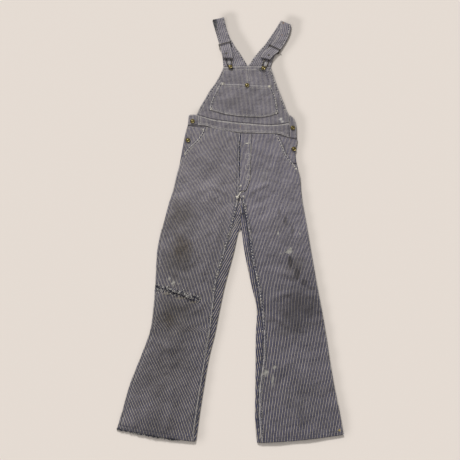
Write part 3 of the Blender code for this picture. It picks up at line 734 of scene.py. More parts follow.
STRIPE, SPOT, SEAM_LINE, BANDS = stripe_group(), spot_group(), seam_group(), band_group()

# Stains, painted shade and worn paint: place, reach, strength, colour, raggedness
# and how hard the edge is
Spot = namedtuple("Spot", "x y reach_x reach_y strength color ragged core")

# The soil colour also paints the soft shade on the bib pocket.
SOIL_AND_SHADE = (0.40, 0.37, 0.29)
BROWN = (0.60, 0.50, 0.34)
# The dark colour darkens the left knee and the hems, and paints the shade in the creases of the
# left thigh.
DARK = (0.38, 0.36, 0.35)
CHALK = (0.36, 0.345, 0.30)
RUST = (0.30, 0.17, 0.07)
TAN = (0.23, 0.20, 0.145)
# The shadow colour paints shade at the fork, in the strap loops and round the bib buttons.
SHADOW = (0.10, 0.10, 0.12)

STAINS_AND_SHADE = [Spot(*row) for row in (
    # thighs and knees
    (-185, -390, 110, 95, 0.66, SOIL_AND_SHADE, 0.5, 0.1), (-150, -445, 80, 60, 0.25, SOIL_AND_SHADE, 0.6, 0.1),
    (-196, -409, 26, 34, 0.50, BROWN, 0.6, 0.1), (-160, -165, 46, 70, 0.62, BROWN, 0.7, 0.1),
    (-172, -55, 80, 100, 0.62, SOIL_AND_SHADE, 0.7, 0.1), (-168, -205, 85, 120, 0.60, SOIL_AND_SHADE, 0.7, 0.1),
    (228, -369, 110, 95, 0.92, DARK, 0.5, 0.1), (218, -228, 60, 60, 0.55, SOIL_AND_SHADE, 0.7, 0.1),
    # soil and painted shade in the creases of the left thigh
    (200, -212, 9, 26, 0.95, DARK, 0.4, 0.6), (222, -256, 12, 24, 0.95, DARK, 0.4, 0.6),
    (244, -284, 15, 17, 0.80, DARK, 0.4, 0.4), (270, -304, 20, 9, 0.70, DARK, 0.4, 0.4),
    (168, -34, 9, 20, 0.60, DARK, 0.5, 0.3), (188, -66, 10, 24, 0.70, DARK, 0.5, 0.3),
    (212, -104, 10, 24, 0.60, DARK, 0.5, 0.3),
    # left thigh, shins and hems
    (165, -90, 60, 50, 0.26, SOIL_AND_SHADE, 0.7, 0.1), (190, -440, 90, 70, 0.25, SOIL_AND_SHADE, 0.7, 0.1),
    (230, -640, 120, 90, 0.22, SOIL_AND_SHADE, 0.7, 0.1), (-200, -560, 110, 190, 0.34, SOIL_AND_SHADE, 0.6, 0.1),
    (-230, -745, 130, 44, 0.45, DARK, 0.6, 0.1), (210, -770, 150, 26, 0.25, DARK, 0.6, 0.1),
    # shade at the fork
    (40, -42, 18, 7, 0.80, SHADOW, 0.6, 0.2), (30, -72, 14, 22, 0.45, SHADOW, 0.7, 0.1),
    (47, -40, 8, 60, 0.55, SHADOW, 0.6, 0.1),
    # rust
    (-70, 574, 5, 5, 0.7, RUST, 0.4, 0.3), (206, 748, 5, 6, 0.6, RUST, 0.4, 0.3),
    (199, 694, 4, 4, 0.6, RUST, 0.4, 0.3), (37, 297, 3, 5, 0.6, RUST, 0.4, 0.3),
    # shade by the pocket, loops and buttons
    (40, 410, 80, 40, 0.22, SOIL_AND_SHADE, 0.7, 0.1), (-60, 742, 13, 42, 1.0, SHADOW, 0.3, 0.65),
    (190, 738, 8, 16, 0.45, SHADOW, 0.5, 0.2), (9, 542, 12, 9, 0.90, SHADOW, 0.5, 0.4),
    (116, 538, 12, 10, 0.90, SHADOW, 0.5, 0.4),
)]

PAINT = [Spot(*row) for row in (
    # paint and rubbed lips at the rip
    (-186, -286, 9, 10, 0.75, CHALK, 1.3, 0.25), (-200, -272, 7, 8, 0.65, CHALK, 1.3, 0.25),
    (-168, -290, 8, 5, 0.45, CHALK, 1.3, 0.2), (-205, -322, 24, 7, 0.50, TAN, 0.9, 0.2),
    (-160, -337, 26, 7, 0.55, TAN, 0.9, 0.2), (-118, -351, 20, 6, 0.50, TAN, 0.9, 0.2),
    # thigh
    (163, -114, 4, 11, 0.80, CHALK, 0.9, 0.3), (236, -114, 4, 6, 0.70, CHALK, 0.9, 0.3),
    (198, -178, 15, 9, 0.85, CHALK, 1.0, 0.35), (203, -168, 6, 8, 0.75, CHALK, 1.0, 0.35),
    (170, -186, 7, 5, 0.35, CHALK, 1.2, 0.3),
    # shin
    (112, -576, 12, 14, 0.75, CHALK, 1.4, 0.2), (140, -560, 8, 8, 0.65, CHALK, 1.2, 0.3),
    (96, -584, 5, 9, 0.50, CHALK, 1.2, 0.3), (133, -598, 6, 24, 0.60, CHALK, 1.2, 0.25),
    (92, -620, 5, 28, 0.50, CHALK, 1.2, 0.25),
    # hem, band and hip
    (332, -748, 5, 5, 0.80, (0.45, 0.34, 0.07), 0.6, 0.3),
    (184, 328, 8, 7, 0.85, (0.56, 0.54, 0.50), 1.5, 0.3),
    (190, 318, 7, 5, 0.75, (0.56, 0.54, 0.50), 1.4, 0.3),
    (120, 100, 26, 44, 0.10, CHALK, 0.8, 0.1),
    # rubbed bib under the hooks
    (-3.5, 571, 7, 11, 0.65, (0.46, 0.44, 0.40), 0.5, 0.4),
    (133.5, 566, 7, 11, 0.65, (0.46, 0.44, 0.40), 0.5, 0.4),
)]

# Lines along the edges of a piece: edge, distance in, width, and how light (dark below 0)
SEAMS = {
    "front_band": (
        ("start", 1.5, 4.0, 0.60), ("start", 9.0, 3.0, 0.30), ("end", 2.0, 3.5, 0.55),
        ("left", 4.0, 3.0, 0.30),
    ),
    "bib": (
        ("start", 2.0, 3.5, -0.35), ("end", 2.0, 3.5, 0.40), ("end", 15.0, 3.0, 0.35),
        ("left", 2.0, 3.5, 0.30), ("left", 9.0, 3.0, 0.25), ("right", 2.0, 3.5, 0.40),
        ("right", 9.0, 3.0, -0.35),
    ),
    "bib_pocket": (
        ("start", 2.0, 4.0, 0.65), ("start", 9.0, 2.5, -0.25), ("end", 3.0, 3.0, 0.40),
        ("end", 12.0, 2.5, 0.22), ("left", 2.0, 3.5, 0.30), ("left", 8.0, 3.0, -0.35),
        ("right", 2.0, 3.5, 0.25), ("right", 7.5, 3.5, -0.65),
    ),
    "right_front": (
        ("left", 1.5, 3.5, 0.30), ("left", 11.0, 3.0, 0.25), ("left", 5.5, 2.5, -0.35),
        ("right", 3.0, 4.0, 0.45), ("right", 8.0, 4.0, -0.85), ("end", 1.0, 5.0, -0.85),
        ("end", 12.0, 3.5, -0.75),
    ),
    "left_front": (
        ("left", 1.5, 3.5, 0.30), ("right", 3.0, 4.0, 0.45), ("right", 9.0, 4.5, -0.85),
        ("end", 1.5, 3.5, -0.45), ("end", 12.0, 3.5, -0.60),
    ),
    "left_back": (("right", 3.0, 6.0, -0.95),),
    "right_back": (("right", 2.5, 4.5, -0.85),),
    "fly": (("left", 2.0, 3.0, 0.40), ("left", 8.5, 2.5, 0.20), ("right", 1.0, 3.0, -0.45)),
    "right_facing": (("right", 17.0, 4.5, -0.60),),
    "left_facing": (("right", 17.0, 4.5, -0.60),),
    "right_strap": (("left", 2.5, 3.5, 0.35), ("right", 2.5, 3.5, 0.35)),
    "left_strap": (("left", 2.5, 3.5, 0.35), ("right", 2.5, 3.5, 0.35)),
    "right_tab": (("start", 2.5, 3.0, 0.30), ("end", 2.5, 3.0, 0.35)),
    "left_tab": (("right", 2.5, 3.0, 0.40),),
}

WORN = (0.50, 0.47, 0.44, 1)
SHADED = (0.022, 0.022, 0.035, 1)
NAVY = (0.008, 0.014, 0.088, 1)
OFF_WHITE = (0.322, 0.283, 0.246, 1)

# Each area of the plan: its rectangle, tint and how faded its dark line is
AREAS = {"right": (-400, -800, 33, 262), "left": (36, -800, 400, 262),
         "upper": (-160, 266, 250, 556), "strap": (-80, 545, 250, 800)}
TINTS = {"right": (1.0, 1.0, 0.97), "left": (0.98, 0.98, 1.0), "upper": (0.805, 0.813, 0.873),
         "strap": (0.865, 0.88, 0.99)}
FADES = {"right": 0.0, "left": 0.0, "upper": 0.42, "strap": 0.65}
AREA_MARGIN = 6
LOW_TONE = 0.30


def new_material(name):
    """Material, its wires, its shader and the place on the object."""
    made = bpy.data.materials.new(name)
    made.use_nodes = True
    wires = Wires(made.node_tree)
    place = wires.node("TexCoord").outputs["Object"]
    return made, wires, made.node_tree.nodes["Principled BSDF"], place


def spots_in(x0, y0, x1, y1):
    return [spot for spot in STAINS_AND_SHADE + PAINT
            if x0 - AREA_MARGIN < spot.x < x1 + AREA_MARGIN
            and y0 - AREA_MARGIN < spot.y < y1 + AREA_MARGIN]


def cloth_material(piece, area):
    """Washed striped denim of a piece, with its worn seams, its area's dirt and paint, and painted
    shade along its seams, in creases, at the fork, in the strap loops and round buttons.
    """
    made, wires, shader, place = new_material(piece + "_denim")
    grain = wires.node("UVMap", {"uv_map": "grain"}).outputs["UV"]
    cloth = wires.group(STRIPE, Grain=grain, Place=place, Dark=NAVY, Light=OFF_WHITE,
                        Fade=FADES[area])
    cloudy = wires.noise(place, 11.0, 6.0, 0.7)
    color = wires.dim(cloth["Color"], wires.maths("MULTIPLY_ADD", cloudy, 0.90, 0.55))
    bands = wires.group(BANDS, Grain=grain, Place=place, Strength=BAND_STRENGTH)["Band"]
    color = wires.dim(color, bands, bands, wires.maths("MULTIPLY_ADD", bands, 0.72, 0.28))
    color = wires.dim(color, *TINTS[area])
    if area in ("right", "left"):
        drop = wires.ramp(wires.split(place)["Y"], SHIFT[1] + 0.05, SHIFT[1] - 0.33)
        color = wires.dim(color, wires.maths("MULTIPLY_ADD", drop, -LOW_TONE, 1.0))
    for spot in spots_in(*AREAS[area]):
        mask = wires.group(SPOT, Place=place, Ragged=spot.ragged, Core=spot.core,
                           Middle=(spot.x * MM + SHIFT[0], spot.y * MM + SHIFT[1], 0.003),
                           Reach=(spot.reach_x * MM, spot.reach_y * MM, 0.05))["Mask"]
        blend = "MIX" if spot in PAINT or spot.color == RUST else "MULTIPLY"
        color = wires.mix(wires.maths("MULTIPLY", mask, spot.strength), color,
                          (*spot.color, 1), blend)
    gaps = {}
    for layer, edges in (("sides", ("left", "right")), ("ends", ("start", "end"))):
        chart = wires.node("UVMap", {"uv_map": layer}).outputs["UV"]
        gaps.update(zip(edges, wires.split(chart)))
    for edge, inset, width, strength in SEAMS.get(piece, ()):
        line = wires.group(SEAM_LINE, Place=place, Distance=gaps[edge], Inset=inset * MM,
                           Width=width * MM, Strength=abs(strength))["Mask"]
        color = wires.mix(line, color, WORN if strength > 0 else SHADED)
    weave = wires.bump(cloth["Height"], 0.5, 0.0003)
    crumple = wires.bump(wires.noise(place, 15.0, 5.0, 0.55), 1.0, 0.013, Normal=weave)
    wires.feed(shader, Base_Color=color, Normal=crumple, Sheen_Weight=0.12, Sheen_Roughness=0.6,
               Roughness=wires.maths("MULTIPLY_ADD", cloudy, 0.12, 0.82))
    return made


def thread_material(name, color, variation):
    made, wires, shader, place = new_material(name)
    shade = wires.maths("MULTIPLY_ADD", wires.noise(place, 60.0, 3.0, 0.6), variation * 2,
                        1 - variation)
    wires.feed(shader, Base_Color=wires.dim((*color, 1), shade), Roughness=0.85)
    return made


def metal_material(name, bright, dark, roughness):
    """Tarnished brass or iron, bright where it is rubbed."""
    made, wires, shader, place = new_material(name)
    part = wires.ramp(wires.noise(place, 260.0, 4.0, 0.6), 0.38, 0.66)
    wires.feed(shader, Base_Color=wires.mix(part, (*dark, 1), (*bright, 1)), Metallic=0.85,
               Roughness=wires.maths("MULTIPLY_ADD", part, -0.15, roughness),
               Normal=wires.bump(wires.noise(place, 900.0, 2.0, 0.5), 0.25, 0.0002))
    return made


cream_thread = thread_material("cream_thread", (0.66, 0.62, 0.54), 0.25)
# The dark thread also makes the dark beads that paint shade along seams, gaps and folds.
dark_thread_and_shade = thread_material("dark_thread_and_shade", (0.022, 0.022, 0.042), 0.3)
frayed_thread = thread_material("frayed_thread", (0.62, 0.59, 0.54), 0.4)
brass = metal_material("old_brass", (0.26, 0.20, 0.07), (0.045, 0.038, 0.015), 0.40)
dark_wire = metal_material("dark_brass_wire", (0.10, 0.085, 0.055), (0.018, 0.016, 0.014), 0.45)
iron = metal_material("rivet_iron", (0.16, 0.14, 0.12), (0.05, 0.045, 0.04), 0.5)


# Pieces

def to_metres(points):
    return np.asarray(points, float) * MM + SHIFT


def add_object(name, data):
    made = bpy.data.objects.new(name, data)
    bpy.context.scene.collection.objects.link(made)
    return made


def mesh_from(name, shape):
    mesh = bpy.data.meshes.new(name)
    shape.to_mesh(mesh)
    shape.free()
    return mesh


def finish_piece(name, mesh, material, slot, *nodes):
    """Make a mesh a piece that rides on the body and stands for its nodes."""
    mesh.materials.append(material)
    mesh.shade_smooth()
    piece = add_object(name, mesh)
    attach(piece, "root")
    if nodes:
        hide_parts(*nodes)
    return piece


def edge_distances(form, points, across, down):
    """Distances in metres from the left and right edges, and from the start and end."""
    zero, one = np.zeros_like(across), np.ones_like(across)
    gaps = [np.linalg.norm(points - form(*places), axis=1) * MM
            for places in ((zero, down), (one, down), (across, zero), (across, one))]
    return np.stack(gaps[:2], 1), np.stack(gaps[2:], 1)


def cloth_piece(node, area, grain, columns, rows, thickness=CLOTH, cut=None):
    """Thin shell on a node's form, with maps for the stripe and for places near its edges."""
    form = forms[node]
    shape = bmesh.new()
    bmesh.ops.create_grid(shape, x_segments=columns, y_segments=rows, size=0.5)
    across, down = np.clip([corner.co[:2] for corner in shape.verts] + np.array(0.5), 0, 1).T
    points = form(across, down)
    sides, ends = edge_distances(form, points, across, down)
    maps = {"grain": grain(points, across, down), "sides": sides, "ends": ends}
    for corner, place in zip(shape.verts, to_metres(points)):
        corner.co = place
    shape.verts.index_update()
    corners_made, faces = list(shape.verts), list(shape.faces)
    if cut is not None:
        corners = np.array([[corner.index for corner in face.verts] for face in faces])
        open_places = cut(across[corners].mean(1), down[corners].mean(1))
        gone = [faces[number] for number in np.flatnonzero(open_places)]
        bmesh.ops.delete(shape, geom=gone, context="FACES")
    bmesh.ops.recalc_face_normals(shape, faces=shape.faces[:])
    kept = np.array([number for number, corner in enumerate(corners_made) if corner.is_valid])
    piece = finish_piece(node + "_cloth", mesh_from(node + "_cloth", shape),
                         cloth_material(node, area), "striped_denim", node)
    order = np.zeros(len(piece.data.loops), int)
    piece.data.loops.foreach_get("vertex_index", order)
    for layer_name, values in maps.items():
        layer = piece.data.uv_layers.new(name=layer_name)
        layer.data.foreach_set("uv", values[kept[order]].ravel())
    wall = piece.modifiers.new("wall", "SOLIDIFY")
    wall.thickness = thickness * MM
    wall.offset = 0.0
    wall.use_even_offset = True
    return piece


# The knee rip: a slanted line of short slits across the right front
RIP_START = (-245.0, -298.0)
RIP_END = (-96.0, -345.0)
RIP_WAVE = 3.0
RIP_TURNS = 19
Slit = namedtuple("Slit", "start end half_height")
SLITS = (
    Slit(0.00, 0.17, 5.0), Slit(0.185, 0.40, 7.0), Slit(0.415, 0.56, 5.6),
    Slit(0.575, 0.78, 7.4), Slit(0.795, 0.90, 5.0), Slit(0.92, 1.00, 3.6),
)


def rip_offset(x, y):
    """How far along the rip a place is, and how far off its line."""
    run = (RIP_END[0] - RIP_START[0], RIP_END[1] - RIP_START[1])
    length = math.hypot(*run)
    along = ((x - RIP_START[0]) * run[0] + (y - RIP_START[1]) * run[1]) / length ** 2
    side = ((x - RIP_START[0]) * -run[1] + (y - RIP_START[1]) * run[0]) / length
    return along, side + RIP_WAVE * np.sin(along * RIP_TURNS)


def rip_cut(form):
    """Whether places on the right front lie in a slit."""
    def cut(across, down):
        places = form(across, down)
        along, side = rip_offset(places[:, 0], places[:, 1])
        gone = np.zeros(len(places), bool)
        for slit in SLITS:
            part = np.clip((along - slit.start) / (slit.end - slit.start), 0, 1)
            gone |= np.abs(side) < slit.half_height * np.sqrt(np.sin(math.pi * part)) - 0.01
        return gone

    return cut


forms = {}
for side, leg, course in (("right", RIGHT_LEG, RIGHT_GRAIN), ("left", LEFT_LEG, LEFT_GRAIN)):
    forms[side + "_front"] = front_form(leg)
    forms[side + "_back"] = back_form(leg)
    forms[side + "_facing"] = facing_form(leg)
    rip = rip_cut(forms["right_front"]) if side == "right" else None
    front = cloth_piece(side + "_front", side, leg_grain(course), columns=64, rows=280, cut=rip)
    back = cloth_piece(side + "_back", side, back_grain(course, WRAP_GRAIN[side]), columns=48,
                       rows=280, cut=back_cut)
    hip = cloth_piece(side + "_facing", side, turned_grain(FACING_GRAIN[side]), columns=26,
                      rows=36)

forms["fly"] = fly_form
fly = cloth_piece("fly", "left", leg_grain(LEFT_GRAIN), columns=14, rows=70)


def uneven_bib(rise):
    return lambda x, y: bib_height(x, y) + rise


def band_height(x, y):
    return BAND_LEVEL + 0.10 * rumple(x, y, 7.0) + 0.1


def straight_ends(low, high):
    """Side edges of a piece whose ends are straight."""
    return (low[0], high[0]), (low[-1], high[-1])


Patch = namedtuple(
    "Patch", "name bottom top left right level columns rows thickness flat area under")
PATCHES = (
    Patch("front_band", BAND_BOTTOM, BAND_TOP, *straight_ends(BAND_BOTTOM, BAND_TOP),
          band_height, 90, 14, BAND_CLOTH, (0.34, 0.04), 0.0125, "back_band_cloth"),
    Patch("back_band", BACK_BAND_BOTTOM, BACK_BAND_TOP,
          *straight_ends(BACK_BAND_BOTTOM, BACK_BAND_TOP), BAND_CLOTH / 2, 60, 8, BAND_CLOTH,
          (0.40, 0.042), 0.016, None),
    Patch("right_tab", RIGHT_TAB_BOTTOM, RIGHT_TAB_TOP,
          *straight_ends(RIGHT_TAB_BOTTOM, RIGHT_TAB_TOP), band_height, 12, 14, BAND_CLOTH,
          (0.034, 0.042), 0.0014, "back_band_cloth"),
    Patch("left_tab", LEFT_TAB_BOTTOM, LEFT_TAB_TOP, (LEFT_TAB_BOTTOM[0], LEFT_TAB_TOP[0]),
          LEFT_TAB_RIGHT, band_height, 10, 24, BAND_CLOTH, (0.025, 0.095), 0.002,
          "back_band_cloth"),
    Patch("back_bib", BACK_BIB_BOTTOM, BACK_BIB_TOP, BACK_BIB_LEFT, BACK_BIB_RIGHT, BACK_LEVEL,
          40, 36, CLOTH, (0.30, 0.25), 0.058, None),
    Patch("bib", BIB_BOTTOM, BIB_TOP, BIB_LEFT, BIB_RIGHT, uneven_bib(0.0), 80, 64, CLOTH,
          (0.33, 0.25), 0.062, "back_bib_cloth"),
    Patch("bib_pocket", POCKET_BOTTOM, POCKET_TOP, POCKET_LEFT, POCKET_RIGHT,
          uneven_bib(LAYER_STEP), 64, 36, CLOTH, (0.255, 0.13), 0.027, "bib_cloth"),
)

for entry in PATCHES:
    forms[entry.name] = patch_form(entry.bottom, entry.top, entry.left, entry.right, entry.level)
    piece = cloth_piece(entry.name, "upper", turned_grain(-BIB_GRAIN), entry.columns, entry.rows,
                        entry.thickness)

for side, stations in (("right", RIGHT_STRAP), ("left", LEFT_STRAP)):
    forms[side + "_strap"] = strap_form(stations)
    piece = cloth_piece(side + "_strap", "strap", strap_grain(forms[side + "_strap"]),
                        columns=16, rows=190, thickness=STRAP_CLOTH)


# Stitching

# Kinds of stitch: spacing, where the first one is, length, width, height, and whether it is dark.
# Dark stitches and puckers are dark beads that paint the shade along sewn lines and in the
# dips of puckered seams; rubs are light beads on their worn ridges.
Kind = namedtuple("Kind", "gap start length width height dark")
KINDS = {
    "cream": Kind(3.6, 0.5, 2.8, 0.9, 0.5, False),
    "dark": Kind(3.6, 0.5, 2.8, 0.9, 0.5, True),
    "pucker": Kind(10.4, 0.3, 6.4, 3.6, 1.2, True),
    "rub": Kind(10.4, 0.8, 6.6, 2.2, 1.0, False),
}


def stitch_shape():
    """One stitch: a small bead, longer than wide."""
    shape = bmesh.new()
    bmesh.ops.create_icosphere(shape, subdivisions=1, radius=0.5)
    corners = np.array([corner.co[:] for corner in shape.verts])
    shape.verts.index_update()
    faces = np.array([[corner.index for corner in face.verts] for face in shape.faces])
    shape.free()
    return corners, faces


BEAD = stitch_shape()
UP = np.array([0.0, 0.0, 1.0])


def bead_mesh(name, places, runs, ups, sizes, material):
    """Many beads joined in one piece: middle, direction, up and size of each."""
    corners, faces = BEAD
    runs = runs / np.linalg.norm(runs, axis=1, keepdims=True)
    sides = np.cross(ups, runs)
    sides /= np.linalg.norm(sides, axis=1, keepdims=True)
    axes = np.stack([runs, sides, np.cross(runs, sides)], 1) * sizes[:, :, None]
    points = (corners @ axes + places[:, None, :]).reshape(-1, 3)
    firsts = np.arange(len(places))[:, None, None] * len(corners)
    mesh = bpy.data.meshes.new(name)
    mesh.from_pydata(to_metres(points), [], (faces[None] + firsts).reshape(-1, 3).tolist())
    finish_piece(name, mesh, material, "striped_denim")


def on_form(form, places, rise, small=0.002):
    """Places and ups along a line of a form's across and down values."""
    across, down = places.T
    over = form(np.minimum(across + small, 1), down) - form(np.maximum(across - small, 0), down)
    along = form(across, np.minimum(down + small, 1)) - form(across, np.maximum(down - small, 0))
    up = np.cross(over, along)
    up /= np.linalg.norm(up, axis=1, keepdims=True) + 1e-9
    up *= np.sign(up[:, 2:3] + 1e-9)
    return form(across, down) + up * rise, up


def stitch_line(form, ends, rise, skips, seed, kind):
    """Stitches along a line drawn through a form's across and down values."""
    dense = np.clip(dense_line(ends, 60 * len(ends))[0], 0, 1)
    places, ups = on_form(form, dense, rise)
    run = lengths(places)
    chance = random.Random(seed)
    middles = np.arange(kind.gap * kind.start, run[-1], kind.gap)
    middles = np.array([value for value in middles if chance.random() >= skips])
    before, after = (read_at(middles + move, run, places)
                     for move in (-kind.length / 2, kind.length / 2))
    return read_at(middles, run, places), after - before, read_at(middles, run, ups)


def inset_line(form, edge, inset, first, last, count=14):
    """Line beside one edge of a form, a real distance in from it."""
    part = np.linspace(first, last, count)
    zero, one = np.zeros(count), np.ones(count)
    beside = edge in ("left", "right")
    far, near = (form(end, part) if beside else form(part, end) for end in (one, zero))
    over = inset / np.maximum(np.linalg.norm(far - near, axis=1), 1)
    over = over if edge in ("left", "start") else 1 - over
    return np.stack([over, part] if beside else [part, over], 1)


# Rows of stitches: piece, kind, from and to along the edge, then for each row its edge,
# distance in and missing share. A row's number chooses which of its stitches are missing.
Row = namedtuple("Row", "piece kind first last edge inset missing")

ROWS = [Row(*row[:4], *edge) for row in (
    ("right_front", "dark", 0.01, 0.99, ("end", 12, 0.10)),
    ("left_front", "dark", 0.01, 0.99, ("end", 12, 0.05)),
    ("right_front", "cream", 0.00, 0.14, ("left", 2.2, 0.15), ("left", 8.5, 0.10)),
    ("left_front", "cream", 0.00, 0.196, ("left", 2.2, 0.25), ("left", 8.5, 0.15)),
    ("right_front", "dark", 0.205, 0.99, ("left", 3.0, 0.35)),
    ("left_front", "dark", 0.224, 0.99, ("left", 3.0, 0.35)),
    ("right_front", "cream", 0.336, 0.99, ("right", 2.0, 0.25)),
    ("right_front", "cream", 0.336, 0.81, ("right", 8.0, 0.45)),
    ("left_front", "cream", 0.336, 0.99, ("right", 2.0, 0.25), ("right", 8.0, 0.50)),
    ("fly", "cream", 0.30, 0.98, ("right", 3.0, 0.40)),
    ("right_front", "pucker", 0.02, 0.16, ("right", 1.2, 0.10)),
    ("fly", "cream", 0.02, 0.96, ("left", 2.2, 0.20)),
    ("fly", "cream", 0.02, 0.90, ("left", 8.0, 0.30)),
    ("front_band", "cream", 0.01, 0.99,
     ("start", 3.0, 0.08), ("start", 9.0, 0.20), ("end", 3.0, 0.06)),
    ("front_band", "cream", 0.05, 0.95, ("left", 3.0, 0.1), ("left", 12.0, 0.1)),
    ("bib", "cream", 0.02, 0.98,
     ("end", 4.0, 0.10), ("end", 16.0, 0.10), ("left", 3.0, 0.15), ("left", 9.5, 0.25),
     ("right", 3.0, 0.15), ("right", 9.5, 0.25)),
    ("bib_pocket", "cream", 0.01, 0.99,
     ("start", 2.5, 0.03), ("start", 8.5, 0.08), ("end", 4.0, 0.15), ("end", 12.0, 0.20),
     ("left", 2.5, 0.50), ("left", 8.5, 0.30), ("right", 2.5, 0.50), ("right", 8.5, 0.50)),
    ("right_tab", "cream", 0.05, 0.95, ("start", 3.0, 0.1), ("end", 3.0, 0.1)),
    ("right_tab", "cream", 0.08, 0.92, ("left", 3.0, 0.1)),
    ("left_tab", "cream", 0.05, 0.97, ("right", 3.0, 0.1)),
    ("right_facing", "dark", 0.03, 0.97, ("left", 4.0, 0.3)),
    ("left_facing", "dark", 0.03, 0.97, ("left", 4.0, 0.3)),
    ("right_strap", "cream", 0.01, 0.99, ("left", 7.0, 0.5), ("right", 7.0, 0.5)),
    ("left_strap", "cream", 0.01, 0.99, ("left", 7.0, 0.5), ("right", 7.0, 0.5)),
    ("bib_pocket", "pucker", 0.02, 0.98, ("right", 4.6, 0.08)),
    ("bib_pocket", "rub", 0.02, 0.98, ("right", 3.6, 0.15)),
    ("bib_pocket", "pucker", 0.02, 0.98, ("left", 4.6, 0.25)),
    ("bib_pocket", "rub", 0.02, 0.98, ("left", 3.6, 0.25)),
    ("bib", "pucker", 0.20, 0.98, ("right", 6.0, 0.20)),
    ("bib", "rub", 0.20, 0.98, ("right", 5.4, 0.35)),
    ("bib", "pucker", 0.10, 0.98, ("left", 5.4, 0.40)),
    ("left_front", "pucker", 0.00, 0.196, ("left", 4.6, 0.10)),
    ("left_front", "rub", 0.00, 0.196, ("left", 3.8, 0.15)),
    ("right_front", "pucker", 0.00, 0.14, ("left", 4.6, 0.10)),
    ("right_front", "rub", 0.00, 0.14, ("left", 3.8, 0.10)),
    ("right_strap", "pucker", 0.02, 0.42, ("right", 3.6, 0.10)),
    ("right_strap", "rub", 0.02, 0.42, ("right", 3.4, 0.15)),
    ("right_strap", "pucker", 0.50, 0.75, ("left", 3.2, 0.25)),
    ("left_strap", "pucker", 0.02, 0.42, ("left", 3.4, 0.25)),
    ("left_strap", "rub", 0.02, 0.42, ("left", 3.0, 0.30)),
    ("right_strap", "pucker", 0.02, 0.42, ("left", 2.6, 0.45)),
    ("right_strap", "pucker", 0.50, 0.75, ("right", 3.0, 0.30)),
    ("left_strap", "rub", 0.46, 0.74, ("left", 5.0, 0.30), ("right", 5.0, 0.30)),
    ("left_strap", "pucker", 0.46, 0.74, ("right", 7.8, 0.40)),
    ("left_front", "pucker", 0.28, 0.74, ("right", 3.6, 0.25)),
    ("left_front", "rub", 0.28, 0.65, ("right", 3.2, 0.40)),
    ("left_back", "pucker", 0.34, 0.81, ("right", 3.6, 0.30)),
    ("right_front", "pucker", 0.317, 0.66, ("right", 3.6, 0.30)),
    ("right_front", "rub", 0.317, 0.627, ("right", 3.2, 0.40)),
) for edge in row[4:]]

# Lines by their places in the plan, with stitch spacing, length and width
Line = namedtuple("Line", "piece points gap length width dark")

PLAN_LINES = [Line(*row) for row in (
    # bib and band
    ("bib", ((62, 551), (64, 486)), 3.2, 2.8, 1.2, False),
    ("bib", ((69, 551), (72, 486)), 3.2, 2.8, 1.2, False),
    ("bib", ((58, 336), (58, 312)), 3.2, 2.8, 1.2, False),
    ("front_band", ((58, 309), (58, 273)), 3.2, 2.8, 1.4, False),
    ("front_band", ((62, 309), (62, 273)), 3.2, 2.8, 1.0, False),
    ("front_band", ((-108, 338), (-108, 304)), 3.4, 2.8, 1.1, False),
    ("front_band", ((-83, 329), (-84, 301)), 3.4, 2.8, 1.1, False),
    # pocket slash and band
    ("right_facing", ((-93, 277), (-104, 258), (-117, 240), (-135, 216), (-161, 188)),
     4.6, 3.4, 1.8, True),
    ("front_band", ((-79, 327), (-46, 318), (25, 308), (58, 305), (123, 299), (213, 305)),
     3.6, 2.8, 1.3, False),
    # shade round the left bib button, dashes by the pocket
    ("bib", ((112, 545), (114, 532), (122, 524), (134, 523), (144, 530), (146, 542)),
     3.6, 3.0, 1.9, True),
    ("bib", ((126, 518), (136, 513), (147, 520), (151, 534)), 3.6, 3.0, 1.9, True),
    ("bib", ((135, 523), (139, 506), (142, 491), (146, 478)), 8.5, 6.5, 2.4, True),
    # prints of the buttons under the fly
    ("fly", ((56, 86), (70, 86), (71, 101), (56, 102), (56, 87)), 3.4, 2.6, 1.6, False),
    ("fly", ((56, 124), (71, 124), (72, 142), (56, 142), (56, 126)), 3.4, 2.6, 1.6, False),
    ("fly", ((56, 166), (72, 166), (73, 184), (56, 184), (56, 167)), 3.4, 2.6, 1.6, False),
    # painted shade in the opening of the fly
    ("right_front", ((33.6, 246), (32.6, 222), (32, 170), (31.5, 120), (31.5, 78)),
     22.0, 17.0, 2.4, True),
    # fork: painted shade in its gap and fold, then light lines
    ("left_front", ((40, 16), (45, 0), (53, -40), (60, -92), (67, -140), (72, -190)),
     6.0, 6.4, 3.2, True),
    ("right_back", ((12, -44), (28, -46), (44, -46), (54, -50)), 5.0, 5.6, 3.0, True),
    ("left_front", ((33, 68), (51, 67), (47, 55), (41, 44), (34, 33), (28, 22)),
     3.0, 5.0, 4.2, False),
    ("right_back", ((40, -58), (24, -78), (8, -108), (-4, -134)), 3.6, 2.8, 1.2, False),
    ("right_back", ((34, -54), (18, -74), (3, -100)), 3.6, 2.8, 1.2, False),
)]

# Bartacks: middle, run of its threads, how long and how wide it is over all
Tack = namedtuple("Tack", "piece x y angle length width")

TACKS = [Tack(*row) for row in (
    ("bib_pocket", -27, 476, 20, 13, 8), ("bib_pocket", 146, 464, -8, 14, 8),
    ("fly", 62, 227, 2, 19, 3.6), ("fly", 36, 62, 60, 12, 5), ("left_front", 45, 44, -20, 13, 6),
    ("right_front", 25, 21, 20, 13, 9), ("left_front", 47, 22, -60, 12, 5),
    ("bib_pocket", 168, 352, 60, 10, 4), ("bib_pocket", -70, 368, 50, 10, 4),
    ("left_front", 232, 128, 80, 9, 3.5), ("right_front", -158, 186, 60, 9, 3.5),
    ("right_front", -97, 283, 60, 8, 4),
)]


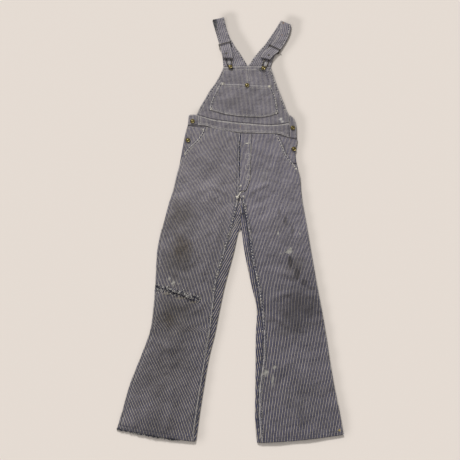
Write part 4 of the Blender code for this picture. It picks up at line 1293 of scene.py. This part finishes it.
def placed_on(piece, places, rise):
    """Heights for places in the plan, from the nearest place on a piece's form."""
    steps = np.stack(np.meshgrid(np.linspace(0, 1, 90), np.linspace(0, 1, 220)), -1).reshape(-1, 2)
    cloud = forms[piece](steps[:, 0], steps[:, 1])
    cloud = cloud[cloud[:, 2] > LAYER_STEP]
    nearest = [np.argmin(((cloud[:, :2] - place[:2]) ** 2).sum(1)) for place in places]
    return np.column_stack([places[:, :2], cloud[nearest, 2] + rise])


def join_stitches(gathered, cream_name, dark_name):
    """One piece of cream stitches, and one of dark stitches and painted shade beads, from their
    places, runs, ups and size.
    """
    for dark, name, material in ((False, cream_name, cream_thread),
                                 (True, dark_name, dark_thread_and_shade)):
        parts = [(places, runs, np.broadcast_to(ups, places.shape),
                  np.tile(size, (len(places), 1)))
                 for places, runs, ups, size in gathered[dark]]
        bead_mesh(name, *(np.concatenate(column) for column in zip(*parts)), material)


def placed_stitches():
    gathered = {False: [], True: []}
    for line in PLAN_LINES:
        dense, run = dense_line(line.points, 200)
        middles = np.arange(line.gap / 2, run[-1], line.gap)
        before, at, after = (read_at(middles + part, run, dense) for part in (-1.0, 0.0, 1.0))
        runs = np.column_stack([after - before, np.zeros(len(middles))])
        gathered[line.dark].append((placed_on(line.piece, at, CLOTH / 2 + 0.15), runs, UP,
                                    (line.length, line.width, 0.6)))
    for tack in TACKS:
        angle = math.radians(tack.angle)
        along = np.array([math.cos(angle), math.sin(angle)])
        over = np.array([-along[1], along[0]])
        steps = np.arange(-tack.width / 2, tack.width / 2 + 0.01, 1.1)
        jitter = np.array([[math.sin(7 * step), math.cos(5 * step)] for step in steps])
        places = np.array([tack.x, tack.y]) + over * steps[:, None] + 0.5 * jitter
        places = placed_on(tack.piece, places, CLOTH / 2 + 0.3)
        runs = np.column_stack([along + 0.12 * jitter, np.zeros(len(steps))])
        gathered[False].append((places, runs, UP, (tack.length, 1.3, 0.9)))
    join_stitches(gathered, "cream_seams_and_tacks", "dark_seams_and_shade")


def stitched_rows():
    thick = {"front_band": BAND_CLOTH, "right_tab": BAND_CLOTH, "left_tab": BAND_CLOTH,
             "right_strap": STRAP_CLOTH, "left_strap": STRAP_CLOTH}
    gathered = {False: [], True: []}
    for number, row in enumerate(ROWS):
        form, kind = forms[row.piece], KINDS[row.kind]
        rise = thick.get(row.piece, CLOTH) / 2 + 0.1
        line = inset_line(form, row.edge, row.inset, row.first, row.last)
        stitches = stitch_line(form, line, rise, row.missing, number, kind)
        gathered[kind.dark].append((*stitches, (kind.length, kind.width, kind.height)))
    join_stitches(gathered, "cream_stitches", "dark_stitches_and_shade")


stitched_rows()
placed_stitches()


# Metal

def bib_level(place):
    """Middle of the bib's cloth at a place in the plan."""
    return float(bib_height(*map(np.float64, place)))


def turned_piece(name, profile, place, base, material, slot, node, steps=40):
    """Round piece turned about a vertical axis from radii and heights."""
    shape = bmesh.new()
    knots = [shape.verts.new((radius, 0, height)) for radius, height in profile]
    edges = [shape.edges.new(pair) for pair in zip(knots, knots[1:])]
    bmesh.ops.spin(shape, geom=knots + edges, cent=(0, 0, 0), axis=(0, 0, 1),
                   angle=math.tau, steps=steps, use_merge=True)
    bmesh.ops.remove_doubles(shape, verts=shape.verts[:], dist=0.001)
    bmesh.ops.recalc_face_normals(shape, faces=shape.faces[:])
    for corner in shape.verts:
        corner.co = to_metres(np.array(corner.co) + (*place, base))
    finish_piece(name, mesh_from(name, shape), material, slot, node)


def button_profile(shank):
    """Shank, rolled rim, ring groove and a raised middle."""
    profile = [(0.0, 0.0), (3.0, 0.0), (3.0, shank), (7.6, shank)]
    rim = [(7.5 + 1.0 * math.cos(turn), shank + 1.1 + 1.1 * math.sin(turn))
           for turn in np.linspace(-1.4, 2.7, 9)]
    middle = [(6.0, shank + 1.3), (5.0, shank + 1.2), (3.6, shank + 1.25), (2.9, shank + 1.6),
              (2.0, shank + 1.9), (0.9, shank + 2.05), (0.0, shank + 2.1)]
    return profile + rim + middle


# Metal buttons: place, level of the foot and height of the shank
STUDS = (
    ("right_bib", RIGHT_BIB_BUTTON, bib_level(RIGHT_BIB_BUTTON) + CLOTH / 2 + SEAM_GAP,
     BUTTON_SHANK),
    ("left_bib", LEFT_BIB_BUTTON, bib_level(LEFT_BIB_BUTTON) + CLOTH / 2 + SEAM_GAP,
     BUTTON_SHANK),
    ("pocket", CHEST_BUTTON, bib_level(CHEST_BUTTON) + LAYER_STEP + CLOTH / 2 + 0.1,
     SMALL_SHANK),
    ("right_band", RIGHT_BAND_BUTTON, 3.6, SMALL_SHANK),
    ("left_band", LEFT_BAND_BUTTON, 3.6, SMALL_SHANK),
    ("right_hip", RIGHT_HIP_BUTTON, 3.0, SMALL_SHANK),
    ("left_hip", LEFT_HIP_BUTTON, 3.0, SMALL_SHANK),
)
for name, place, base, shank in STUDS:
    turned_piece(name + "_button_metal", button_profile(shank), place, base, brass,
                 "brass_button", name + "_button")


def wire_piece(name, points, node):
    """Bent wire as a round closed tube through smooth points, made a mesh."""
    curve = bpy.data.curves.new(name, "CURVE")
    curve.dimensions = "3D"
    curve.bevel_depth = WIRE_RADIUS * MM
    curve.bevel_resolution = 3
    spline = curve.splines.new("POLY")
    spline.points.add(len(points) - 1)
    for knot, place in zip(spline.points, to_metres(points)):
        knot.co = (*place, 1.0)
    spline.use_cyclic_u = True
    holder = add_object(name + "_guide", curve)
    shape = bmesh.new()
    shape.from_mesh(bpy.data.meshes.new_from_object(holder))
    bpy.data.objects.remove(holder)
    bmesh.ops.remove_doubles(shape, verts=shape.verts[:], dist=0.000001)
    bmesh.ops.recalc_face_normals(shape, faces=shape.faces[:])
    finish_piece(name, mesh_from(name, shape), dark_wire, "brass_wire", node)


def smooth_loop(points, count):
    """Closed smooth line through places."""
    wrapped = [*points[-2:], *points, *points[:2]]
    return read_rows(wrapped, np.linspace(2, 2 + len(points), count, endpoint=False))


def hook_points(button, station):
    """Wire loop from the button's shank up to its bar behind the strap."""
    reach = np.array([station.x - button[0], station.y - button[1]])
    along = reach / math.hypot(*reach)
    over = np.array([along[1], -along[0]])
    loop = list(HOOK_ROWS) + [(up, -half) for up, half in reversed(HOOK_ROWS[1:])]
    high = bib_level(button) + CLOTH / 2 + 2 * SEAM_GAP + WIRE / 2
    low_level = STRAP_CLOTH + SEAM_GAP + WIRE / 2
    points = []
    for up, side in smooth_loop(loop, 96):
        drop = min(max((up - 14.0) / 16.0, 0.0), 1.0)
        points.append((*(button + along * up + over * side), high + (low_level - high) * drop))
    return points


def slide_points(station):
    angle = math.radians(station.across)
    half = station.width / 2 + WIRE / 2 + 1.0
    inset = half - 2.0
    over = station.z + STRAP_CLOTH / 2 + 2 * SEAM_GAP + WIRE / 2
    under = station.z - STRAP_CLOTH / 2 - SEAM_GAP / 2 - WIRE / 2
    between = (over + under) / 2
    outline = [(-half, 9, over), (-inset, 11, over), (inset, 11, over), (half, 9, over),
               (half, 4, between), (half, -4, under), (inset, -6, under),
               (-inset, -6, under), (-half, -4, under), (-half, 4, between)]
    return [(station.x + math.cos(angle) * side - math.sin(angle) * up,
             station.y + math.sin(angle) * side + math.cos(angle) * up, height)
            for side, up, height in outline]


def named(stations, name):
    return next(station for station in stations if station.name == name)


for side, stations, button in (("right", RIGHT_STRAP, RIGHT_BIB_BUTTON),
                               ("left", LEFT_STRAP, LEFT_BIB_BUTTON)):
    end = named(stations, "over_hook")
    wire_piece(side + "_hook_wire", hook_points(button, end), side + "_hook")
    wire_piece(side + "_slide_wire", smooth_loop(slide_points(named(stations, "under_slide")), 80),
               side + "_slide")
    turned_piece(side + "_rivet_head", [(0, 0), (4.0, 0), (3.9, 0.5), (3.2, 1.0), (2.2, 1.2),
                                        (1.6, 0.9), (0, 0.8)],
                 (end.x - 1, end.y - 6), LEVEL_END + STRAP_CLOTH / 2 + 0.3, iron,
                 "iron_rivet", side + "_rivet", 28)


# Frayed threads over the rip and along the right hem

RIP_THREADS = 680
HEM_THREADS = 520
RIP_PLACE = 0.62


def fray(name, threads, material):
    """Loose threads in one piece, from the middle, direction and size of each."""
    places, runs, sizes = (np.array(column) for column in zip(*threads))
    bead_mesh(name, places, runs, UP, sizes, material)


def rip_threads():
    chance = random.Random(7)
    run = np.array([RIP_END[0] - RIP_START[0], RIP_END[1] - RIP_START[1]])
    length = np.linalg.norm(run)
    side = np.array([-run[1], run[0]]) / length
    leg = sections(RIGHT_LEG, np.array([RIP_PLACE]))
    light, deep = [], []
    for _ in range(RIP_THREADS):
        part = chance.random()
        off = chance.gauss(0, 5.6) - RIP_WAVE * math.sin(part * RIP_TURNS)
        x, y = RIP_START + run * part + side * off
        height = upper_height(leg, np.array([x]), np.array([y]))[0] + chance.uniform(0.2, 1.4)
        way = (*(side + chance.gauss(0, 0.5) * run / length), chance.uniform(-0.2, 0.2))
        thread = (chance.uniform(4, 12), chance.uniform(0.7, 1.5), 0.6)
        (light if chance.random() < 0.30 else deep).append(((x, y, height), way, thread))
    fray("rip_light_threads", light, frayed_thread)
    fray("rip_dark_threads", deep, dark_thread_and_shade)


def hem_threads():
    chance = random.Random(11)
    form = forms["right_front"]
    threads = []
    for _ in range(HEM_THREADS):
        part = chance.random() ** 1.2 * 0.82
        place = form(np.array([part]), np.array([1.0]))[0]
        clump = 0.5 + 0.5 * math.sin(part * 90 + 3 * math.sin(part * 31))
        reach = chance.uniform(1.5, 4.0) + 4.5 * clump
        middle = (place[0] + chance.gauss(0, 0.8), place[1] - reach * 0.25,
                  chance.uniform(0.8, place[2] + 0.6))
        way = (chance.gauss(0.1, 0.5), -1.0, chance.gauss(0, 0.15))
        threads.append((middle, way, (reach, 0.9, 0.6)))
    fray("hem_dark_threads", [thread for number, thread in enumerate(threads) if number % 5],
         dark_thread_and_shade)
    fray("hem_light_threads", threads[::5], frayed_thread)


rip_threads()
hem_threads()


# Floor, light and camera

# Cells of the floor's shade: their size and how far they reach each way from the middle
SHADE_CELL = 8.0
SHADE_REACH = (460, 880)
SHADE_MOVE = (16.0, 8.0)
SHADE_MOVE_HIGH = (38.0, 24.0)
SHADE_BLUR = 11.0
FLOOR_HALF = 30.0
FLOOR_COLOR = (0.828, 0.754, 0.690, 1)
SHADE_COLOR = (0.660, 0.600, 0.546, 1)


def soft_shade(x, y):
    """How much of the floor near some places is under the garment, moved aside and blurred."""
    cover = np.zeros((len(x), len(y)))
    steps = np.stack(np.meshgrid(np.linspace(0, 1, 90), np.linspace(0, 1, 420)), -1).reshape(-1, 2)
    for form in forms.values():
        cloud = form(steps[:, 0], steps[:, 1])
        move = [low + (high - low) * np.clip((cloud[:, 1] - 100) / 400, 0, 1)
                for low, high in zip(SHADE_MOVE, SHADE_MOVE_HIGH)]
        columns = np.rint((cloud[:, 0] + move[0] - x[0]) / SHADE_CELL).astype(int)
        rows = np.rint((cloud[:, 1] + move[1] - y[0]) / SHADE_CELL).astype(int)
        cover[columns, rows] = 1.0
    reach = np.arange(-4, 5) * SHADE_CELL
    weights = np.exp(-(reach / SHADE_BLUR) ** 2 / 2)
    weights /= weights.sum()
    for axis in (0, 1):
        cover = np.apply_along_axis(np.convolve, axis, cover, weights, "same")
    return np.clip(cover * 1.35, 0, 1)


def stage_floor():
    """Pale floor, a little darker beside the garment where the photo's soft shade lies."""
    x, y = (np.arange(-half, half + 1, SHADE_CELL) for half in SHADE_REACH)
    cover = soft_shade(x, y)
    shape = bmesh.new()
    bmesh.ops.create_grid(shape, x_segments=len(x) - 1, y_segments=len(y) - 1, size=0.5)
    spots = np.array([corner.co[:2] for corner in shape.verts]) + 0.5
    columns = np.rint(spots[:, 0] * (len(x) - 1)).astype(int)
    rows = np.rint(spots[:, 1] * (len(y) - 1)).astype(int)
    for corner, column, row in zip(shape.verts, columns, rows):
        place = to_metres([x[column], y[row], -0.4])
        if column in (0, len(x) - 1):
            place[0] = math.copysign(FLOOR_HALF, place[0])
        if row in (0, len(y) - 1):
            place[1] = math.copysign(FLOOR_HALF, place[1])
        corner.co = place
    mesh = mesh_from("floor", shape)
    shade = mesh.attributes.new("shade", "FLOAT", "POINT")
    shade.data.foreach_set("value", cover[columns, rows].astype(np.float32))
    made, wires, shader, _ = new_material("pale_floor")
    part = wires.node("Attribute", {"attribute_name": "shade"}).outputs["Fac"]
    wires.feed(shader, Base_Color=wires.mix(part, FLOOR_COLOR, SHADE_COLOR), Roughness=0.95,
               Specular_IOR_Level=0.1)
    mesh.materials.append(made)
    add_object("floor", mesh)


def studio_light():
    world = bpy.data.worlds.new("studio")
    world.use_nodes = True
    back = world.node_tree.nodes["Background"]
    back.inputs["Color"].default_value = (1.0, 0.99, 0.98, 1)
    back.inputs["Strength"].default_value = 0.36
    bpy.context.scene.world = world
    for name, toward, angle, power in (("high_window", (0.3, -1.0, -0.52), 10.0, 3.40),
                                       ("low_window", (1.0, 0.7, -0.75), 30.0, 0.60)):
        lamp = bpy.data.lights.new(name, "SUN")
        lamp.angle = math.radians(angle)
        lamp.energy = power
        holder = add_object(name, lamp)
        holder.rotation_euler = Vector(toward).to_track_quat("-Z", "Y").to_euler()


def set_camera():
    lens = bpy.data.cameras.new("photo_view")
    lens.lens = CAMERA_LENS
    lens.sensor_width = 36.0
    lens.clip_end = 20.0
    camera = add_object("photo_view", lens)
    camera.location = (CAMERA_PLACE[0] * MM + SHIFT[0], CAMERA_PLACE[1] * MM + SHIFT[1],
                       CAMERA_HEIGHT)
    camera.rotation_euler = (math.radians(CAMERA_TILT), 0, 0)
    bpy.context.scene.camera = camera
    bpy.context.scene.view_settings.view_transform = "Standard"


stage_floor()
studio_light()
set_camera()
